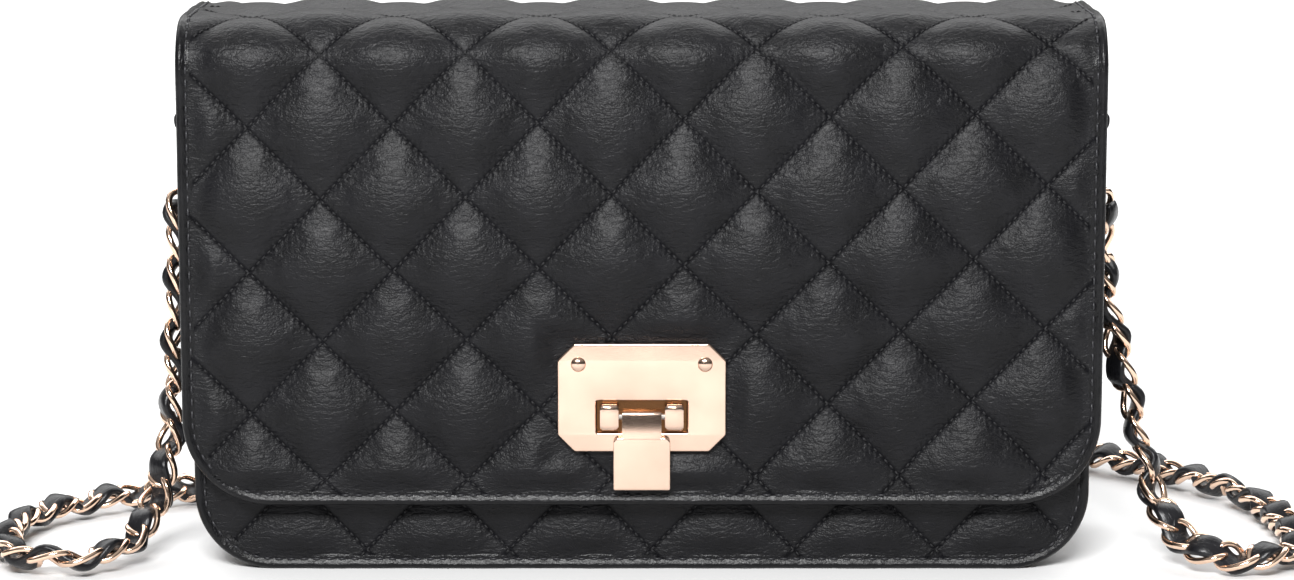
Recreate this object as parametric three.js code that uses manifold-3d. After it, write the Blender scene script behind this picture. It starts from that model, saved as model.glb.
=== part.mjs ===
// A quilted flap purse with a flip-lock plate and a chain shoulder strap.
// Millimetres. X runs along the width, the front faces -Y, +Z is up, and z = 0 is the base it stands on.
import * as THREE from 'three';
import { mergeVertices } from 'three/addons/utils/BufferGeometryUtils.js';
import Module from 'manifold-3d';

// Driving dimensions.
const bodyWidth = 226;
const flapWidth = 230;
const halfDepth = 33.2;
const flapFaceY = -29.7;
const bodyFaceY = -23;
const foldHeight = 127;
const rollRadius = 13;
const bodyCorner = 20;
const flapCorner = 22;
const flapBottom = 18;
const pad = 3.2;
const board = 0.8;
const lining = 0.6;
const gap = 0.3;
const edgeBinding = 1.1;
const gussetThickness = 2.4;
const mouthHeight = 118;
const panelTop = 122;
const gussetTop = 125;
const seamInset = 0.8;

const lockWidth = 42;
const lockHeight = 27.4;
const lockBottom = 32.1;
const lockChamfer = 4.2;
const pinHeight = 41;
const pinRadius = 0.8;

const zipLength = 150;
const zipHeight = 92;

const ringHeight = 112;
const ringX = 115.6;
const strapRadius = 4.6;

// The strap's centre line from the left ring, along the floor and folded behind the bag, to the right ring.
const floorZ = 4.8;
const strapRoute = [
  [-118, 0, 92.5], [-119, 0, 74], [-120, 0, 56], [-121, 0, 39], [-123, -1.5, 23], [-127, -10, 10],
  [-133, -24, 5.2], [-145, -32, floorZ], [-157.5, -26.5, floorZ], [-163, -12, floorZ], [-163.5, 4, floorZ],
  [-159.5, 20, floorZ], [-150, 33, floorZ], [-136, 44, floorZ], [-116, 54, floorZ], [-90, 60, floorZ],
  [-30, 60, floorZ], [50, 60, floorZ], [68, 67, floorZ], [75, 80, floorZ], [68, 93, floorZ],
  [50, 100, floorZ], [-50, 100, floorZ], [-68, 107, floorZ], [-75, 120, floorZ], [-68, 133, floorZ],
  [-50, 140, floorZ], [30, 138, floorZ], [90, 122, floorZ], [132, 90, floorZ], [155, 60, floorZ],
  [165, 34, floorZ], [168.5, 8, floorZ], [168, -12, floorZ], [162.5, -25, floorZ], [150.5, -30.5, floorZ],
  [139, -24, 6.5], [133, -12, 13], [129.5, -3, 25], [125.5, 0, 40], [121, 0, 58], [118.5, 0, 76],
  [118, 0, 92.5],
];

const wasm = await Module();
wasm.setup();

const purse = new THREE.Group();

// Materials.
const leather = new THREE.MeshStandardMaterial({ color: 0x1f1f22, roughness: 0.5, metalness: 0 });
const edgeLeather = new THREE.MeshStandardMaterial({ color: 0x151517, roughness: 0.35, metalness: 0 });
const cloth = new THREE.MeshStandardMaterial({ color: 0x2a2727, roughness: 0.9, metalness: 0 });
const stiffener = new THREE.MeshStandardMaterial({ color: 0x8a7a66, roughness: 0.85, metalness: 0 });
const gold = new THREE.MeshStandardMaterial({ color: 0xe8c9a8, roughness: 0.2, metalness: 1 });
const darkMetal = new THREE.MeshStandardMaterial({ color: 0x9a9488, roughness: 0.35, metalness: 1 });

function addMesh(name, geometry, material) {
  const mesh = new THREE.Mesh(geometry, material);
  mesh.name = name;
  purse.add(mesh);
  return mesh;
}

// Booleans.
function toSolid(geometry) {
  const bare = geometry.index ? geometry.toNonIndexed() : geometry.clone();
  bare.deleteAttribute('normal');
  bare.deleteAttribute('uv');
  const merged = mergeVertices(bare, 1e-4);
  return new wasm.Manifold(new wasm.Mesh({
    numProp: 3,
    vertProperties: merged.attributes.position.array,
    triVerts: new Uint32Array(merged.index.array),
  }));
}

function toGeometry(solid) {
  const mesh = solid.getMesh();
  const geometry = new THREE.BufferGeometry();
  geometry.setAttribute('position', new THREE.BufferAttribute(mesh.vertProperties, 3));
  geometry.setIndex(new THREE.BufferAttribute(mesh.triVerts, 1));
  geometry.computeVertexNormals();
  return geometry;
}

function cut(geometry, ...tools) {
  let solid = toSolid(geometry);
  for (const tool of tools) {
    solid = solid.subtract(toSolid(tool));
  }
  return toGeometry(solid);
}

function join(...geometries) {
  let solid = toSolid(geometries[0]);
  for (const geometry of geometries.slice(1)) {
    solid = solid.add(toSolid(geometry));
  }
  return toGeometry(solid);
}

// Prisms along each axis.
function extrude(shape, depth, curveSegments) {
  return new THREE.ExtrudeGeometry(shape, { depth, bevelEnabled: false, curveSegments });
}

// An outline in (x, z), from yFront back to yBack.
function slabXZ(shape, yFront, yBack, curveSegments = 8) {
  return extrude(shape, yBack - yFront, curveSegments).rotateX(Math.PI / 2).translate(0, yBack, 0);
}

// An outline in (y, z), from x0 to x1.
function slabYZ(shape, x0, x1, curveSegments = 8) {
  const turn = new THREE.Matrix4().makeBasis(
    new THREE.Vector3(0, 1, 0),
    new THREE.Vector3(0, 0, 1),
    new THREE.Vector3(1, 0, 0),
  );
  return extrude(shape, x1 - x0, curveSegments).applyMatrix4(turn).translate(x0, 0, 0);
}

function box(x0, x1, y0, y1, z0, z1) {
  const size = [x1 - x0, y1 - y0, z1 - z0];
  return new THREE.BoxGeometry(...size).translate((x0 + x1) / 2, (y0 + y1) / 2, (z0 + z1) / 2);
}

function cylinderX(radius, x0, x1, y, z, sides = 16) {
  const geometry = new THREE.CylinderGeometry(radius, radius, x1 - x0, sides).rotateZ(Math.PI / 2);
  return geometry.translate((x0 + x1) / 2, y, z);
}

function cylinderY(radius, y0, y1, x, z, sides = 16) {
  const geometry = new THREE.CylinderGeometry(radius, radius, y1 - y0, sides);
  return geometry.translate(x, (y0 + y1) / 2, z);
}

// A body of revolution about an axis along Y: profile points are (radius, y) from front to back.
function turned(profile, x, z, sides = 20) {
  const points = profile.map(([radius, y]) => new THREE.Vector2(radius, y));
  return new THREE.LatheGeometry(points, sides).translate(x, 0, z);
}

// Panel outline: straight top, rounded bottom corners.
function panelShape(halfWidth, bottom, top, corner) {
  const shape = new THREE.Shape();
  shape.moveTo(-halfWidth, top);
  shape.lineTo(-halfWidth, bottom + corner);
  shape.absarc(-halfWidth + corner, bottom + corner, corner, Math.PI, 1.5 * Math.PI);
  shape.absarc(halfWidth - corner, bottom + corner, corner, -0.5 * Math.PI, 0);
  shape.lineTo(halfWidth, top);
  shape.closePath();
  return shape;
}

// U band: the strip of the given thickness inside a panel outline, open at the top.
function bandShape(halfWidth, bottom, top, corner, thickness) {
  const innerCorner = corner - thickness;
  const shape = new THREE.Shape();
  shape.moveTo(-halfWidth, top);
  shape.lineTo(-halfWidth, bottom + corner);
  shape.absarc(-halfWidth + corner, bottom + corner, corner, Math.PI, 1.5 * Math.PI);
  shape.absarc(halfWidth - corner, bottom + corner, corner, -0.5 * Math.PI, 0);
  shape.lineTo(halfWidth, top);
  shape.lineTo(halfWidth - thickness, top);
  shape.absarc(halfWidth - corner, bottom + corner, innerCorner, 0, -0.5 * Math.PI, true);
  shape.absarc(-halfWidth + corner, bottom + corner, innerCorner, -0.5 * Math.PI, -Math.PI, true);
  shape.lineTo(-halfWidth + thickness, top);
  shape.closePath();
  return shape;
}

// Layers, front to back.
const panelBackY = bodyFaceY + pad;
const backPanelY = halfDepth - pad;
const gussetFrontY = panelBackY + gap;
const gussetBackY = backPanelY - gap;
const frontLiningY = gussetFrontY + board + gap;
const backLiningY = gussetBackY - board - gap - lining - gap - lining;
const innerHalf = bodyWidth / 2 - seamInset - gussetThickness - gap;
const innerBottom = gussetThickness + gap;
const innerCorner = bodyCorner - seamInset - gussetThickness - gap;
const topOfBack = foldHeight - gap / 2;

// Bag body: quilted panels, gusset and bindings.
const snapHeight = 68;
const socketRadius = 7;
const bindingRoom = edgeBinding + gap;
const panelHalf = bodyWidth / 2 - bindingRoom;
const panelCorner = bodyCorner - bindingRoom;
const frontPanelShape = panelShape(panelHalf, bindingRoom, panelTop, panelCorner);
const backPanelShape = panelShape(panelHalf, bindingRoom, topOfBack, panelCorner);
const bindingShape = bandShape(bodyWidth / 2, 0, panelTop, bodyCorner, edgeBinding);

addMesh('front_panel', cut(
  slabXZ(frontPanelShape, bodyFaceY, panelBackY),
  cylinderY(socketRadius + gap, bodyFaceY - 1, panelBackY + 1, 0, snapHeight, 20),
), leather);
addMesh('back_panel', slabXZ(backPanelShape, backPanelY, halfDepth), leather);
addMesh('front_binding', slabXZ(bindingShape, bodyFaceY - 0.2, panelBackY), edgeLeather);
addMesh('back_binding', slabXZ(bindingShape, backPanelY, halfDepth), edgeLeather);

const gussetHalf = bodyWidth / 2 - seamInset;
const gussetShape = bandShape(gussetHalf, 0, gussetTop, bodyCorner - seamInset, gussetThickness);
addMesh('gusset_band', slabXZ(gussetShape, gussetFrontY, gussetBackY), leather);

// Stiffeners and lining.
const boardShape = panelShape(innerHalf, innerBottom, mouthHeight, innerCorner);
const liningTop = mouthHeight + 3;
const liningShape = panelShape(innerHalf, innerBottom, liningTop, innerCorner);
const baseTop = innerBottom + 1.5;
const liningBandBottom = baseTop + gap;
const liningBandFront = frontLiningY + lining + gap;
const liningBandBack = backLiningY - gap;
const liningBandShape = bandShape(innerHalf, liningBandBottom, liningTop, innerCorner - 2, lining);

addMesh('front_board', slabXZ(boardShape, gussetFrontY, gussetFrontY + board), stiffener);
addMesh('back_board', slabXZ(boardShape, gussetBackY - board, gussetBackY), stiffener);
addMesh('base_board', box(-88, 88, liningBandFront, liningBandBack, innerBottom, baseTop), stiffener);
addMesh('lining_front', slabXZ(liningShape, frontLiningY, frontLiningY + lining), cloth);
addMesh('lining_gusset', slabXZ(liningBandShape, liningBandFront, liningBandBack), cloth);

// Inner zip pocket: a window in the back lining with the tapes and teeth, and a flat pouch behind it.
const zipWindow = 9;
const tapeHeight = 3;
const teethHeight = 1;
const teethFrontY = backLiningY - 0.7;
const windowEnd = zipLength / 2 + 3;
const windowBottom = zipHeight - zipWindow / 2;
const windowTop = zipHeight + zipWindow / 2;
addMesh('lining_back', cut(
  slabXZ(liningShape, backLiningY, backLiningY + lining),
  box(-windowEnd, windowEnd, backLiningY - 1, backLiningY + 2, windowBottom, windowTop),
), cloth);
const pouchFrontY = backLiningY + lining + gap;
addMesh('zip_pouch', box(-82, 82, pouchFrontY, pouchFrontY + lining, 24, 102), cloth);
for (const [side, direction] of [['upper', 1], ['lower', -1]]) {
  const tapeNear = zipHeight + direction * (zipWindow / 2 - gap - tapeHeight);
  const tapeFar = zipHeight + direction * (zipWindow / 2 - gap);
  const teethNear = zipHeight + direction * gap / 2;
  const teethFar = tapeNear - direction * gap / 2;
  addMesh(`zip_tape_${side}`, box(
    -zipLength / 2 - 2.5, zipLength / 2 + 2.5, backLiningY, backLiningY + lining,
    Math.min(tapeNear, tapeFar), Math.max(tapeNear, tapeFar),
  ), cloth);
  addMesh(`zip_teeth_${side}`, box(
    -zipLength / 2, zipLength / 2, teethFrontY, backLiningY + lining,
    Math.min(teethNear, teethFar), Math.max(teethNear, teethFar),
  ), darkMetal);
}

// Slider plate with a bail post for the pull.
const sliderX = -zipLength / 2 + 8;
const sliderBackY = teethFrontY - gap;
const sliderFrontY = sliderBackY - 1.6;
const pullPinY = sliderFrontY - 1.6;
const sliderShape = new THREE.Shape();
sliderShape.moveTo(-4.5, -2.5);
sliderShape.lineTo(3, -4);
sliderShape.lineTo(4.5, -4);
sliderShape.lineTo(4.5, 4);
sliderShape.lineTo(3, 4);
sliderShape.lineTo(-4.5, 2.5);
sliderShape.closePath();
function alongZ(radius, z0, z1, x, y, sides = 12) {
  const geometry = new THREE.CylinderGeometry(radius, radius, z1 - z0, sides).rotateX(Math.PI / 2);
  return geometry.translate(x, y, (z0 + z1) / 2);
}
addMesh('zip_slider', join(
  slabXZ(sliderShape, sliderFrontY, sliderBackY).translate(sliderX, 0, zipHeight),
  box(sliderX - 0.7, sliderX + 0.7, pullPinY - 0.2, sliderFrontY + 0.4, zipHeight - 3, zipHeight - 2),
  box(sliderX - 0.7, sliderX + 0.7, pullPinY - 0.2, sliderFrontY + 0.4, zipHeight + 2, zipHeight + 3),
  alongZ(0.6, zipHeight - 3, zipHeight + 3, sliderX, pullPinY),
), darkMetal);

// Pull: an eye round the post and a blade lying along the zip.
const pullLength = 22;
const pullShape = new THREE.Shape();
pullShape.absarc(0, 0, 1.5, Math.PI * 0.25, Math.PI * 1.75);
pullShape.lineTo(pullLength, -0.6);
pullShape.lineTo(pullLength, 0.6);
pullShape.closePath();
const pullEye = new THREE.Path().absarc(0, 0, 0.9, 0, 2 * Math.PI);
pullShape.holes.push(pullEye);
const pullGeometry = extrude(pullShape, 3.4, 10).translate(sliderX, pullPinY, zipHeight - 1.7);
addMesh('zip_pull', pullGeometry, darkMetal);

// Slip pocket on the front lining.
addMesh('slip_pocket', box(
  -62, 62, frontLiningY + lining + gap, frontLiningY + 2 * lining + gap, 30, 98,
), cloth);

// Magnetic snap behind the lock: socket in the body, stud on the flap lining.
const flapBackY = flapFaceY + pad;
const flapBoardY = flapBackY + gap;
const flapLiningY = flapBoardY + board + gap;
const flapInnerY = flapLiningY + lining;
addMesh('snap_socket', turned([
  [0, bodyFaceY - 0.1], [3, bodyFaceY - 0.1], [4, bodyFaceY - 0.3], [6, bodyFaceY - 0.3],
  [socketRadius, bodyFaceY + 0.3], [socketRadius, panelBackY - gap], [0, panelBackY - gap],
], 0, snapHeight), darkMetal);
const studPost = 1.5;
addMesh('snap_stud', turned([
  [0, flapLiningY], [studPost, flapLiningY], [studPost, flapInnerY + gap], [6.5, flapInnerY + gap],
  [6.2, flapInnerY + gap + 0.6], [0, flapInnerY + gap + 0.6],
], 0, snapHeight), darkMetal);

// Flap: a rolled top that lifts at the back fold, and a front that bends at the front fold.
function rollShape(outerInset, thickness) {
  const outer = rollRadius - outerInset;
  const inner = outer - thickness;
  const backCentre = halfDepth - rollRadius;
  const frontCentre = flapFaceY + rollRadius;
  const centreZ = foldHeight + gap / 2;
  const shape = new THREE.Shape();
  shape.absarc(backCentre, centreZ, outer, 0, Math.PI / 2);
  shape.absarc(frontCentre, centreZ, outer, Math.PI / 2, Math.PI);
  shape.lineTo(frontCentre - inner, centreZ);
  shape.absarc(frontCentre, centreZ, inner, Math.PI, Math.PI / 2, true);
  shape.absarc(backCentre, centreZ, inner, Math.PI / 2, 0, true);
  shape.closePath();
  return shape;
}

const flapHalf = flapWidth / 2 - edgeBinding - gap;
addMesh('flap_top_panel', slabYZ(rollShape(0, pad), -flapHalf, flapHalf), leather);
addMesh('flap_top_lining', slabYZ(rollShape(pad + gap, lining), -flapHalf, flapHalf), cloth);
const flapEdge = flapWidth / 2;
const topBindingShape = rollShape(0, pad + gap + lining);
addMesh('flap_top_binding_left', slabYZ(topBindingShape, -flapEdge, -flapEdge + edgeBinding), edgeLeather);
addMesh('flap_top_binding_right', slabYZ(topBindingShape, flapEdge - edgeBinding, flapEdge), edgeLeather);

// Lock parts: window, rivets and hinge places.
const windowHalf = 11.4;
const windowLow = 36.9;
const windowHigh = 45.1;
const recessHalf = windowHalf + 0.6;
const rivetX = 15.8;
const rivetZ = 54.3;
const rivetHoleRadius = 1.2;
const plateBackY = flapFaceY - gap;
const plateFrontY = plateBackY - 1.5;
const tabFrontY = -halfDepth;
const pinY = tabFrontY + 2;
const recessLow = windowLow - 0.6;
const recessHigh = windowHigh + 0.6;
const recess = box(-recessHalf, recessHalf, flapFaceY - 1, flapBoardY + 3, recessLow, recessHigh);

function rivetHoles(y0, y1) {
  return [-rivetX, rivetX].map((x) => cylinderY(rivetHoleRadius, y0, y1, x, rivetZ, 12));
}

const flapTopZ = foldHeight - gap / 2;
const flapPanelShape = panelShape(flapHalf, flapBottom + bindingRoom, flapTopZ, flapCorner - bindingRoom);
const flapBandShape = bandShape(flapWidth / 2, flapBottom, flapTopZ, flapCorner, edgeBinding);
const flapBoardShape = panelShape(flapHalf - 1, flapBottom + 3, flapTopZ - 8, flapCorner - 3);
const lockRoomHalf = lockWidth / 2 + 1;
const lockTop = lockBottom + lockHeight;
addMesh('flap_front_panel', cut(
  slabXZ(flapPanelShape, flapFaceY, flapBackY),
  recess,
  ...rivetHoles(flapFaceY - 1, flapBackY + 1),
), leather);
addMesh('flap_front_board', cut(
  slabXZ(flapBoardShape, flapBoardY, flapBoardY + board),
  box(-lockRoomHalf, lockRoomHalf, flapBoardY - 1, flapBoardY + 2, lockBottom - 1, lockTop + 1),
), stiffener);
addMesh('flap_front_lining', cut(
  slabXZ(flapPanelShape, flapLiningY, flapInnerY),
  cylinderY(studPost + gap + 0.1, flapLiningY - 1, flapInnerY + 1, 0, snapHeight, 20),
), cloth);
addMesh('flap_front_binding', slabXZ(flapBandShape, flapFaceY, flapInnerY), edgeLeather);

// Lock plate: an eight-sided plate with a window, held by two domed rivets through a backing plate.
function plateShape(width, height, bottom, chamfer) {
  const half = width / 2;
  const top = bottom + height;
  const shape = new THREE.Shape();
  shape.moveTo(-half + chamfer, bottom);
  shape.lineTo(half - chamfer, bottom);
  shape.lineTo(half, bottom + chamfer);
  shape.lineTo(half, top - chamfer);
  shape.lineTo(half - chamfer, top);
  shape.lineTo(-half + chamfer, top);
  shape.lineTo(-half, top - chamfer);
  shape.lineTo(-half, bottom + chamfer);
  shape.closePath();
  return shape;
}

const lockShape = plateShape(lockWidth, lockHeight, lockBottom, lockChamfer);
addMesh('lock_plate', cut(
  slabXZ(lockShape, plateFrontY, plateBackY),
  box(-windowHalf, windowHalf, plateFrontY - 1, plateBackY + 1, windowLow, windowHigh),
  ...rivetHoles(plateFrontY - 1, plateBackY + 1),
), gold);
addMesh('lock_backing_plate', cut(
  slabXZ(lockShape, flapBoardY, flapBoardY + board),
  ...rivetHoles(flapBoardY - 1, flapBoardY + 2),
), darkMetal);
for (const [side, direction] of [['left', -1], ['right', 1]]) {
  addMesh(`lock_rivet_${side}`, turned([
    [0, plateFrontY - 1.1], [0.9, plateFrontY - 1], [1.5, plateFrontY - 0.7], [1.75, plateFrontY - gap],
    [0.85, plateFrontY - gap], [0.85, flapBoardY + board], [0, flapBoardY + board],
  ], direction * rivetX, rivetZ, 14), gold);
}

// Lock base in the window: a foot with two lugs that carry the hinge pin.
const baseBackY = flapBackY - 0.1;
const baseFrontY = baseBackY - 1;
const lugFrontY = pinY - 1.9;
const lugShape = new THREE.Shape();
lugShape.moveTo(baseBackY - 0.5, pinHeight - 3.4);
lugShape.lineTo(baseBackY - 0.5, pinHeight + 3.4);
lugShape.lineTo(pinY - 0.4, pinHeight + 3.4);
lugShape.lineTo(lugFrontY, pinHeight + 1.6);
lugShape.lineTo(lugFrontY, pinHeight - 1.6);
lugShape.lineTo(pinY - 0.4, pinHeight - 3.4);
lugShape.closePath();
const lugs = [[-10.4, -5.8], [5.8, 10.4]].map(([x0, x1]) => slabYZ(lugShape, x0, x1));
addMesh('lock_base', cut(
  join(box(-windowHalf, windowHalf, baseFrontY, baseBackY, windowLow - 0.2, windowHigh + 0.2), ...lugs),
  cylinderX(pinRadius + gap, -12, 12, pinY, pinHeight),
), gold);
addMesh('lock_hinge_pin', cylinderX(pinRadius, -9.8, 9.8, pinY, pinHeight), darkMetal);

// Flip tab: a knuckle on the pin and a blade hanging over the plate's lower edge.
const tabBackY = plateFrontY - gap;
const knuckleHalf = 4.9;
const tabHalf = 7.1;
const tabBottom = 22.6;
const tabTop = windowLow - 1.5;
const neck = box(-knuckleHalf, knuckleHalf, tabFrontY, tabBackY, tabTop - 1, pinHeight - 0.6);
const blade = box(-tabHalf, tabHalf, tabFrontY, tabBackY, tabBottom, tabTop);
addMesh('lock_tab', cut(
  join(cylinderX(1.99, -knuckleHalf, knuckleHalf, pinY, pinHeight, 24), neck, blade),
  cylinderX(pinRadius + gap, -8, 8, pinY, pinHeight),
), gold);

// Strap hardware on each side: leather tab with a rivet, D-ring and end link.
const barRadius = 1.1;
const loopInner = 1.8;
const loopOuter = ringX - gussetHalf - gap;

function ringTabShape() {
  const shape = new THREE.Shape();
  const top = 11;
  const leafStart = 5;
  shape.moveTo(-loopOuter, 0);
  shape.absarc(0, 0, loopOuter, Math.PI, 2 * Math.PI);
  shape.lineTo(loopOuter, 1);
  shape.lineTo(0.6, leafStart);
  shape.lineTo(0.6, top);
  shape.lineTo(-loopOuter, top);
  shape.closePath();
  shape.holes.push(new THREE.Path().absarc(0, 0, loopInner, 0, 2 * Math.PI));
  return shape;
}

function dRingShape() {
  const shape = new THREE.Shape();
  const outerHalf = 7.7;
  const innerHalfWidth = 5.6;
  const bowCentre = -2.6;
  shape.moveTo(-outerHalf, bowCentre);
  shape.absarc(0, bowCentre, outerHalf, Math.PI, 2 * Math.PI);
  shape.lineTo(outerHalf, barRadius);
  shape.lineTo(-outerHalf, barRadius);
  shape.closePath();
  const hole = new THREE.Path();
  hole.moveTo(-innerHalfWidth, bowCentre);
  hole.absarc(0, bowCentre, innerHalfWidth, Math.PI, 2 * Math.PI);
  hole.lineTo(innerHalfWidth, -barRadius);
  hole.lineTo(-innerHalfWidth, -barRadius);
  hole.closePath();
  shape.holes.push(hole);
  return shape;
}

// An oval ring in the plane x-z, hung with its top inside the D-ring's bow.
function ovalLinkShape(halfOuter, halfInner, topZ, bottomZ) {
  const wire = halfOuter - halfInner;
  const shape = new THREE.Shape();
  shape.absarc(0, topZ - halfOuter, halfOuter, 0, Math.PI);
  shape.absarc(0, bottomZ + halfOuter, halfOuter, Math.PI, 2 * Math.PI);
  shape.closePath();
  const hole = new THREE.Path();
  hole.absarc(0, topZ - wire - halfInner, halfInner, 0, Math.PI);
  hole.absarc(0, bottomZ + wire + halfInner, halfInner, Math.PI, 2 * Math.PI);
  hole.closePath();
  shape.holes.push(hole);
  return shape;
}

const ringTabHalf = 4.8;
for (const [side, direction] of [['left', -1], ['right', 1]]) {
  const mirror = (geometry) => (direction < 0 ? geometry.rotateZ(Math.PI) : geometry);
  const tabBody = slabXZ(ringTabShape(), -ringTabHalf, ringTabHalf).translate(ringX, 0, ringHeight);
  const rivetHole = cylinderX(1.2, gussetHalf - 1, ringX + 2, 0, ringHeight + 7.5, 12);
  addMesh(`ring_tab_${side}`, mirror(cut(tabBody, rivetHole)), leather);
  const rivet = join(
    cylinderX(0.85, gussetHalf + gap, ringX + 1.4, 0, ringHeight + 7.5, 12),
    cylinderX(2.2, ringX + 1, ringX + 1.9, 0, ringHeight + 7.5, 16),
  );
  addMesh(`ring_rivet_${side}`, mirror(rivet), gold);
  const ring = slabYZ(dRingShape(), -1, 1, 12).translate(ringX, 0, ringHeight);
  addMesh(`d_ring_${side}`, mirror(ring), gold);
  const link = slabXZ(ovalLinkShape(3, 1.4, -5.8, -17.4), -0.8, 0.8, 10).translate(ringX, 0, ringHeight);
  addMesh(`end_link_${side}`, mirror(link), gold);
}

// Chain strap, as one plain tube along its route.
const routePoints = strapRoute.map((p) => new THREE.Vector3(...p));
const route = new THREE.CatmullRomCurve3(routePoints, false, 'centripetal');
const strapSection = new THREE.Shape();
strapSection.absarc(0, 0, strapRadius, 0, 2 * Math.PI);
const strapSteps = 78;
addMesh('chain_strap', new THREE.ExtrudeGeometry(strapSection, {
  steps: strapSteps,
  extrudePath: route,
  curveSegments: 4,
}), gold);

export default purse;
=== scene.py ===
import math
import bmesh
import bpy
import numpy as np
from mathutils import Matrix, Vector


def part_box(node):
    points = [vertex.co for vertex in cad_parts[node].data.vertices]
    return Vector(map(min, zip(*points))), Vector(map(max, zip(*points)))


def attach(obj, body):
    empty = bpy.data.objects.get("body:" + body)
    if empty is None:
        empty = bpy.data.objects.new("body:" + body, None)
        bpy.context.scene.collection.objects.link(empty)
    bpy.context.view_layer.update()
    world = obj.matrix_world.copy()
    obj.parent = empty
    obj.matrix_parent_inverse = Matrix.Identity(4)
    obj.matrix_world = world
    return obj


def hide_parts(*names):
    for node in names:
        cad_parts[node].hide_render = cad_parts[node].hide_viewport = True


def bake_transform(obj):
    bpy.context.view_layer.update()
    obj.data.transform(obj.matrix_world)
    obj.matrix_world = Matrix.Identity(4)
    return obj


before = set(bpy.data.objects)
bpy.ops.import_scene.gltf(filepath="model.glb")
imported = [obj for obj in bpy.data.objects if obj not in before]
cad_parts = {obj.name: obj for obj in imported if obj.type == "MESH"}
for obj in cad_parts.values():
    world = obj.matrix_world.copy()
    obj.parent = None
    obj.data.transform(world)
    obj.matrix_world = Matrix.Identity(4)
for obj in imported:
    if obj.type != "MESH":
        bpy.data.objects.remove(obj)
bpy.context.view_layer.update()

MM = 0.001

# ---------------------------------------------------------------- places, from the frame (metres)


def box(node):
    low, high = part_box(node)
    return np.array(low, float), np.array(high, float)


def middle_of(node):
    low, high = box(node)
    return (low + high) / 2


flap_low, flap_high = box("flap_front_panel")
top_low, top_high = box("flap_top_panel")
body_high = box("front_binding")[1]
back_low, back_high = box("back_binding")
gusset_high = box("gusset_band")[1]
flap_band_low, flap_band_high = box("flap_front_binding")

flap_half = flap_band_high[0]
body_half = body_high[0]
flap_face = flap_low[1]
back_face = back_high[1]
body_face = box("front_panel")[0][1]
flap_bottom = flap_band_low[2]
fold = (flap_high[2] + top_low[2]) / 2
roll = top_high[2] - fold
flap_corner = 22 * MM
body_corner = 20 * MM
front_top = body_high[2]

# ---------------------------------------------------------------- camera


def make_camera():
    data = bpy.data.cameras.new("camera")
    data.lens = 102.5
    data.sensor_width = 36
    data.clip_start = 0.01
    camera = bpy.data.objects.new("camera", data)
    bpy.context.collection.objects.link(camera)
    camera.location = (0.0013, -0.933, 0.222)
    camera.rotation_euler = (math.radians(80.62), 0, 0)
    bpy.context.scene.camera = camera


make_camera()

# ---------------------------------------------------------------- materials


class Look:
    """A node material: add() makes a node with its inputs linked or set."""

    def __init__(self, name):
        self.material = bpy.data.materials.new(name)
        self.material.use_nodes = True
        self.tree = self.material.node_tree
        self.shader = self.tree.nodes["Principled BSDF"]

    def add(self, kind, inputs=None, **settings):
        node = self.tree.nodes.new("ShaderNode" + kind)
        for key, value in settings.items():
            setattr(node, key, value)
        for key, value in (inputs or {}).items():
            self.put(node.inputs[key], value)
        return node

    def put(self, socket, value):
        if isinstance(value, bpy.types.NodeSocket):
            self.tree.links.new(value, socket)
        else:
            socket.default_value = value

    def math(self, operation, a, b=0.0, c=0.0):
        return self.add("Math", {0: a, 1: b, 2: c}, operation=operation).outputs[0]

    def ramp(self, value, low, high, to_low, to_high):
        node = self.add("MapRange", {0: value, 1: low, 2: high, 3: to_low, 4: to_high})
        return node.outputs[0]

    def noise(self, place, scale, detail=3.0, rough=0.55, distortion=0.0):
        inputs = {"Vector": place, "Scale": scale, "Detail": detail, "Roughness": rough}
        inputs["Distortion"] = distortion
        return self.add("TexNoise", inputs).outputs[0]

    def voronoi_edge(self, place, scale):
        inputs = {"Vector": place, "Scale": scale}
        return self.add("TexVoronoi", inputs, feature="DISTANCE_TO_EDGE").outputs[0]

    def mix(self, share, a, b):
        node = self.add("Mix", data_type="RGBA")
        self.put(node.inputs[0], share)
        self.put(node.inputs[6], a)
        self.put(node.inputs[7], b)
        return node.outputs[2]

    def stretched(self, place, factors):
        return self.add("VectorMath", {0: place, 1: factors}, operation="MULTIPLY").outputs[0]

    def bump(self, height, distance, strength=1.0):
        node = self.add("Bump", {"Height": height, "Distance": distance, "Strength": strength})
        self.put(self.shader.inputs["Normal"], node.outputs[0])

    def set(self, **values):
        names = {"coat": "Coat Weight", "coat_roughness": "Coat Roughness", "sheen": "Sheen Weight",
                 "sheen_roughness": "Sheen Roughness", "specular": "Specular IOR Level",
                 "metallic": "Metallic", "roughness": "Roughness", "base": "Base Color"}
        for key, value in values.items():
            self.put(self.shader.inputs[names[key]], value)


quilt_pitch_x = 36 * MM
quilt_pitch_s = 36 * MM
stitch_step_x = 1.36 * MM


def leather_grain(look, place):
    """Fine pebbles with soft creases across them."""
    wrinkle_place = look.stretched(place, (0.45, 1.0, 1.0))
    pebble = look.ramp(look.voronoi_edge(place, 1500), 0.0, 0.28, 0.0, 1.0)
    crease = look.noise(wrinkle_place, 1080, 2.0, 0.5, 0.7)
    broad = look.noise(place, 120, 2.0, 0.5)
    grain = look.math("MULTIPLY_ADD", pebble, 0.1, look.math("MULTIPLY", crease, 0.9))
    return look.math("MULTIPLY_ADD", broad, 0.15, grain), broad


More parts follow.
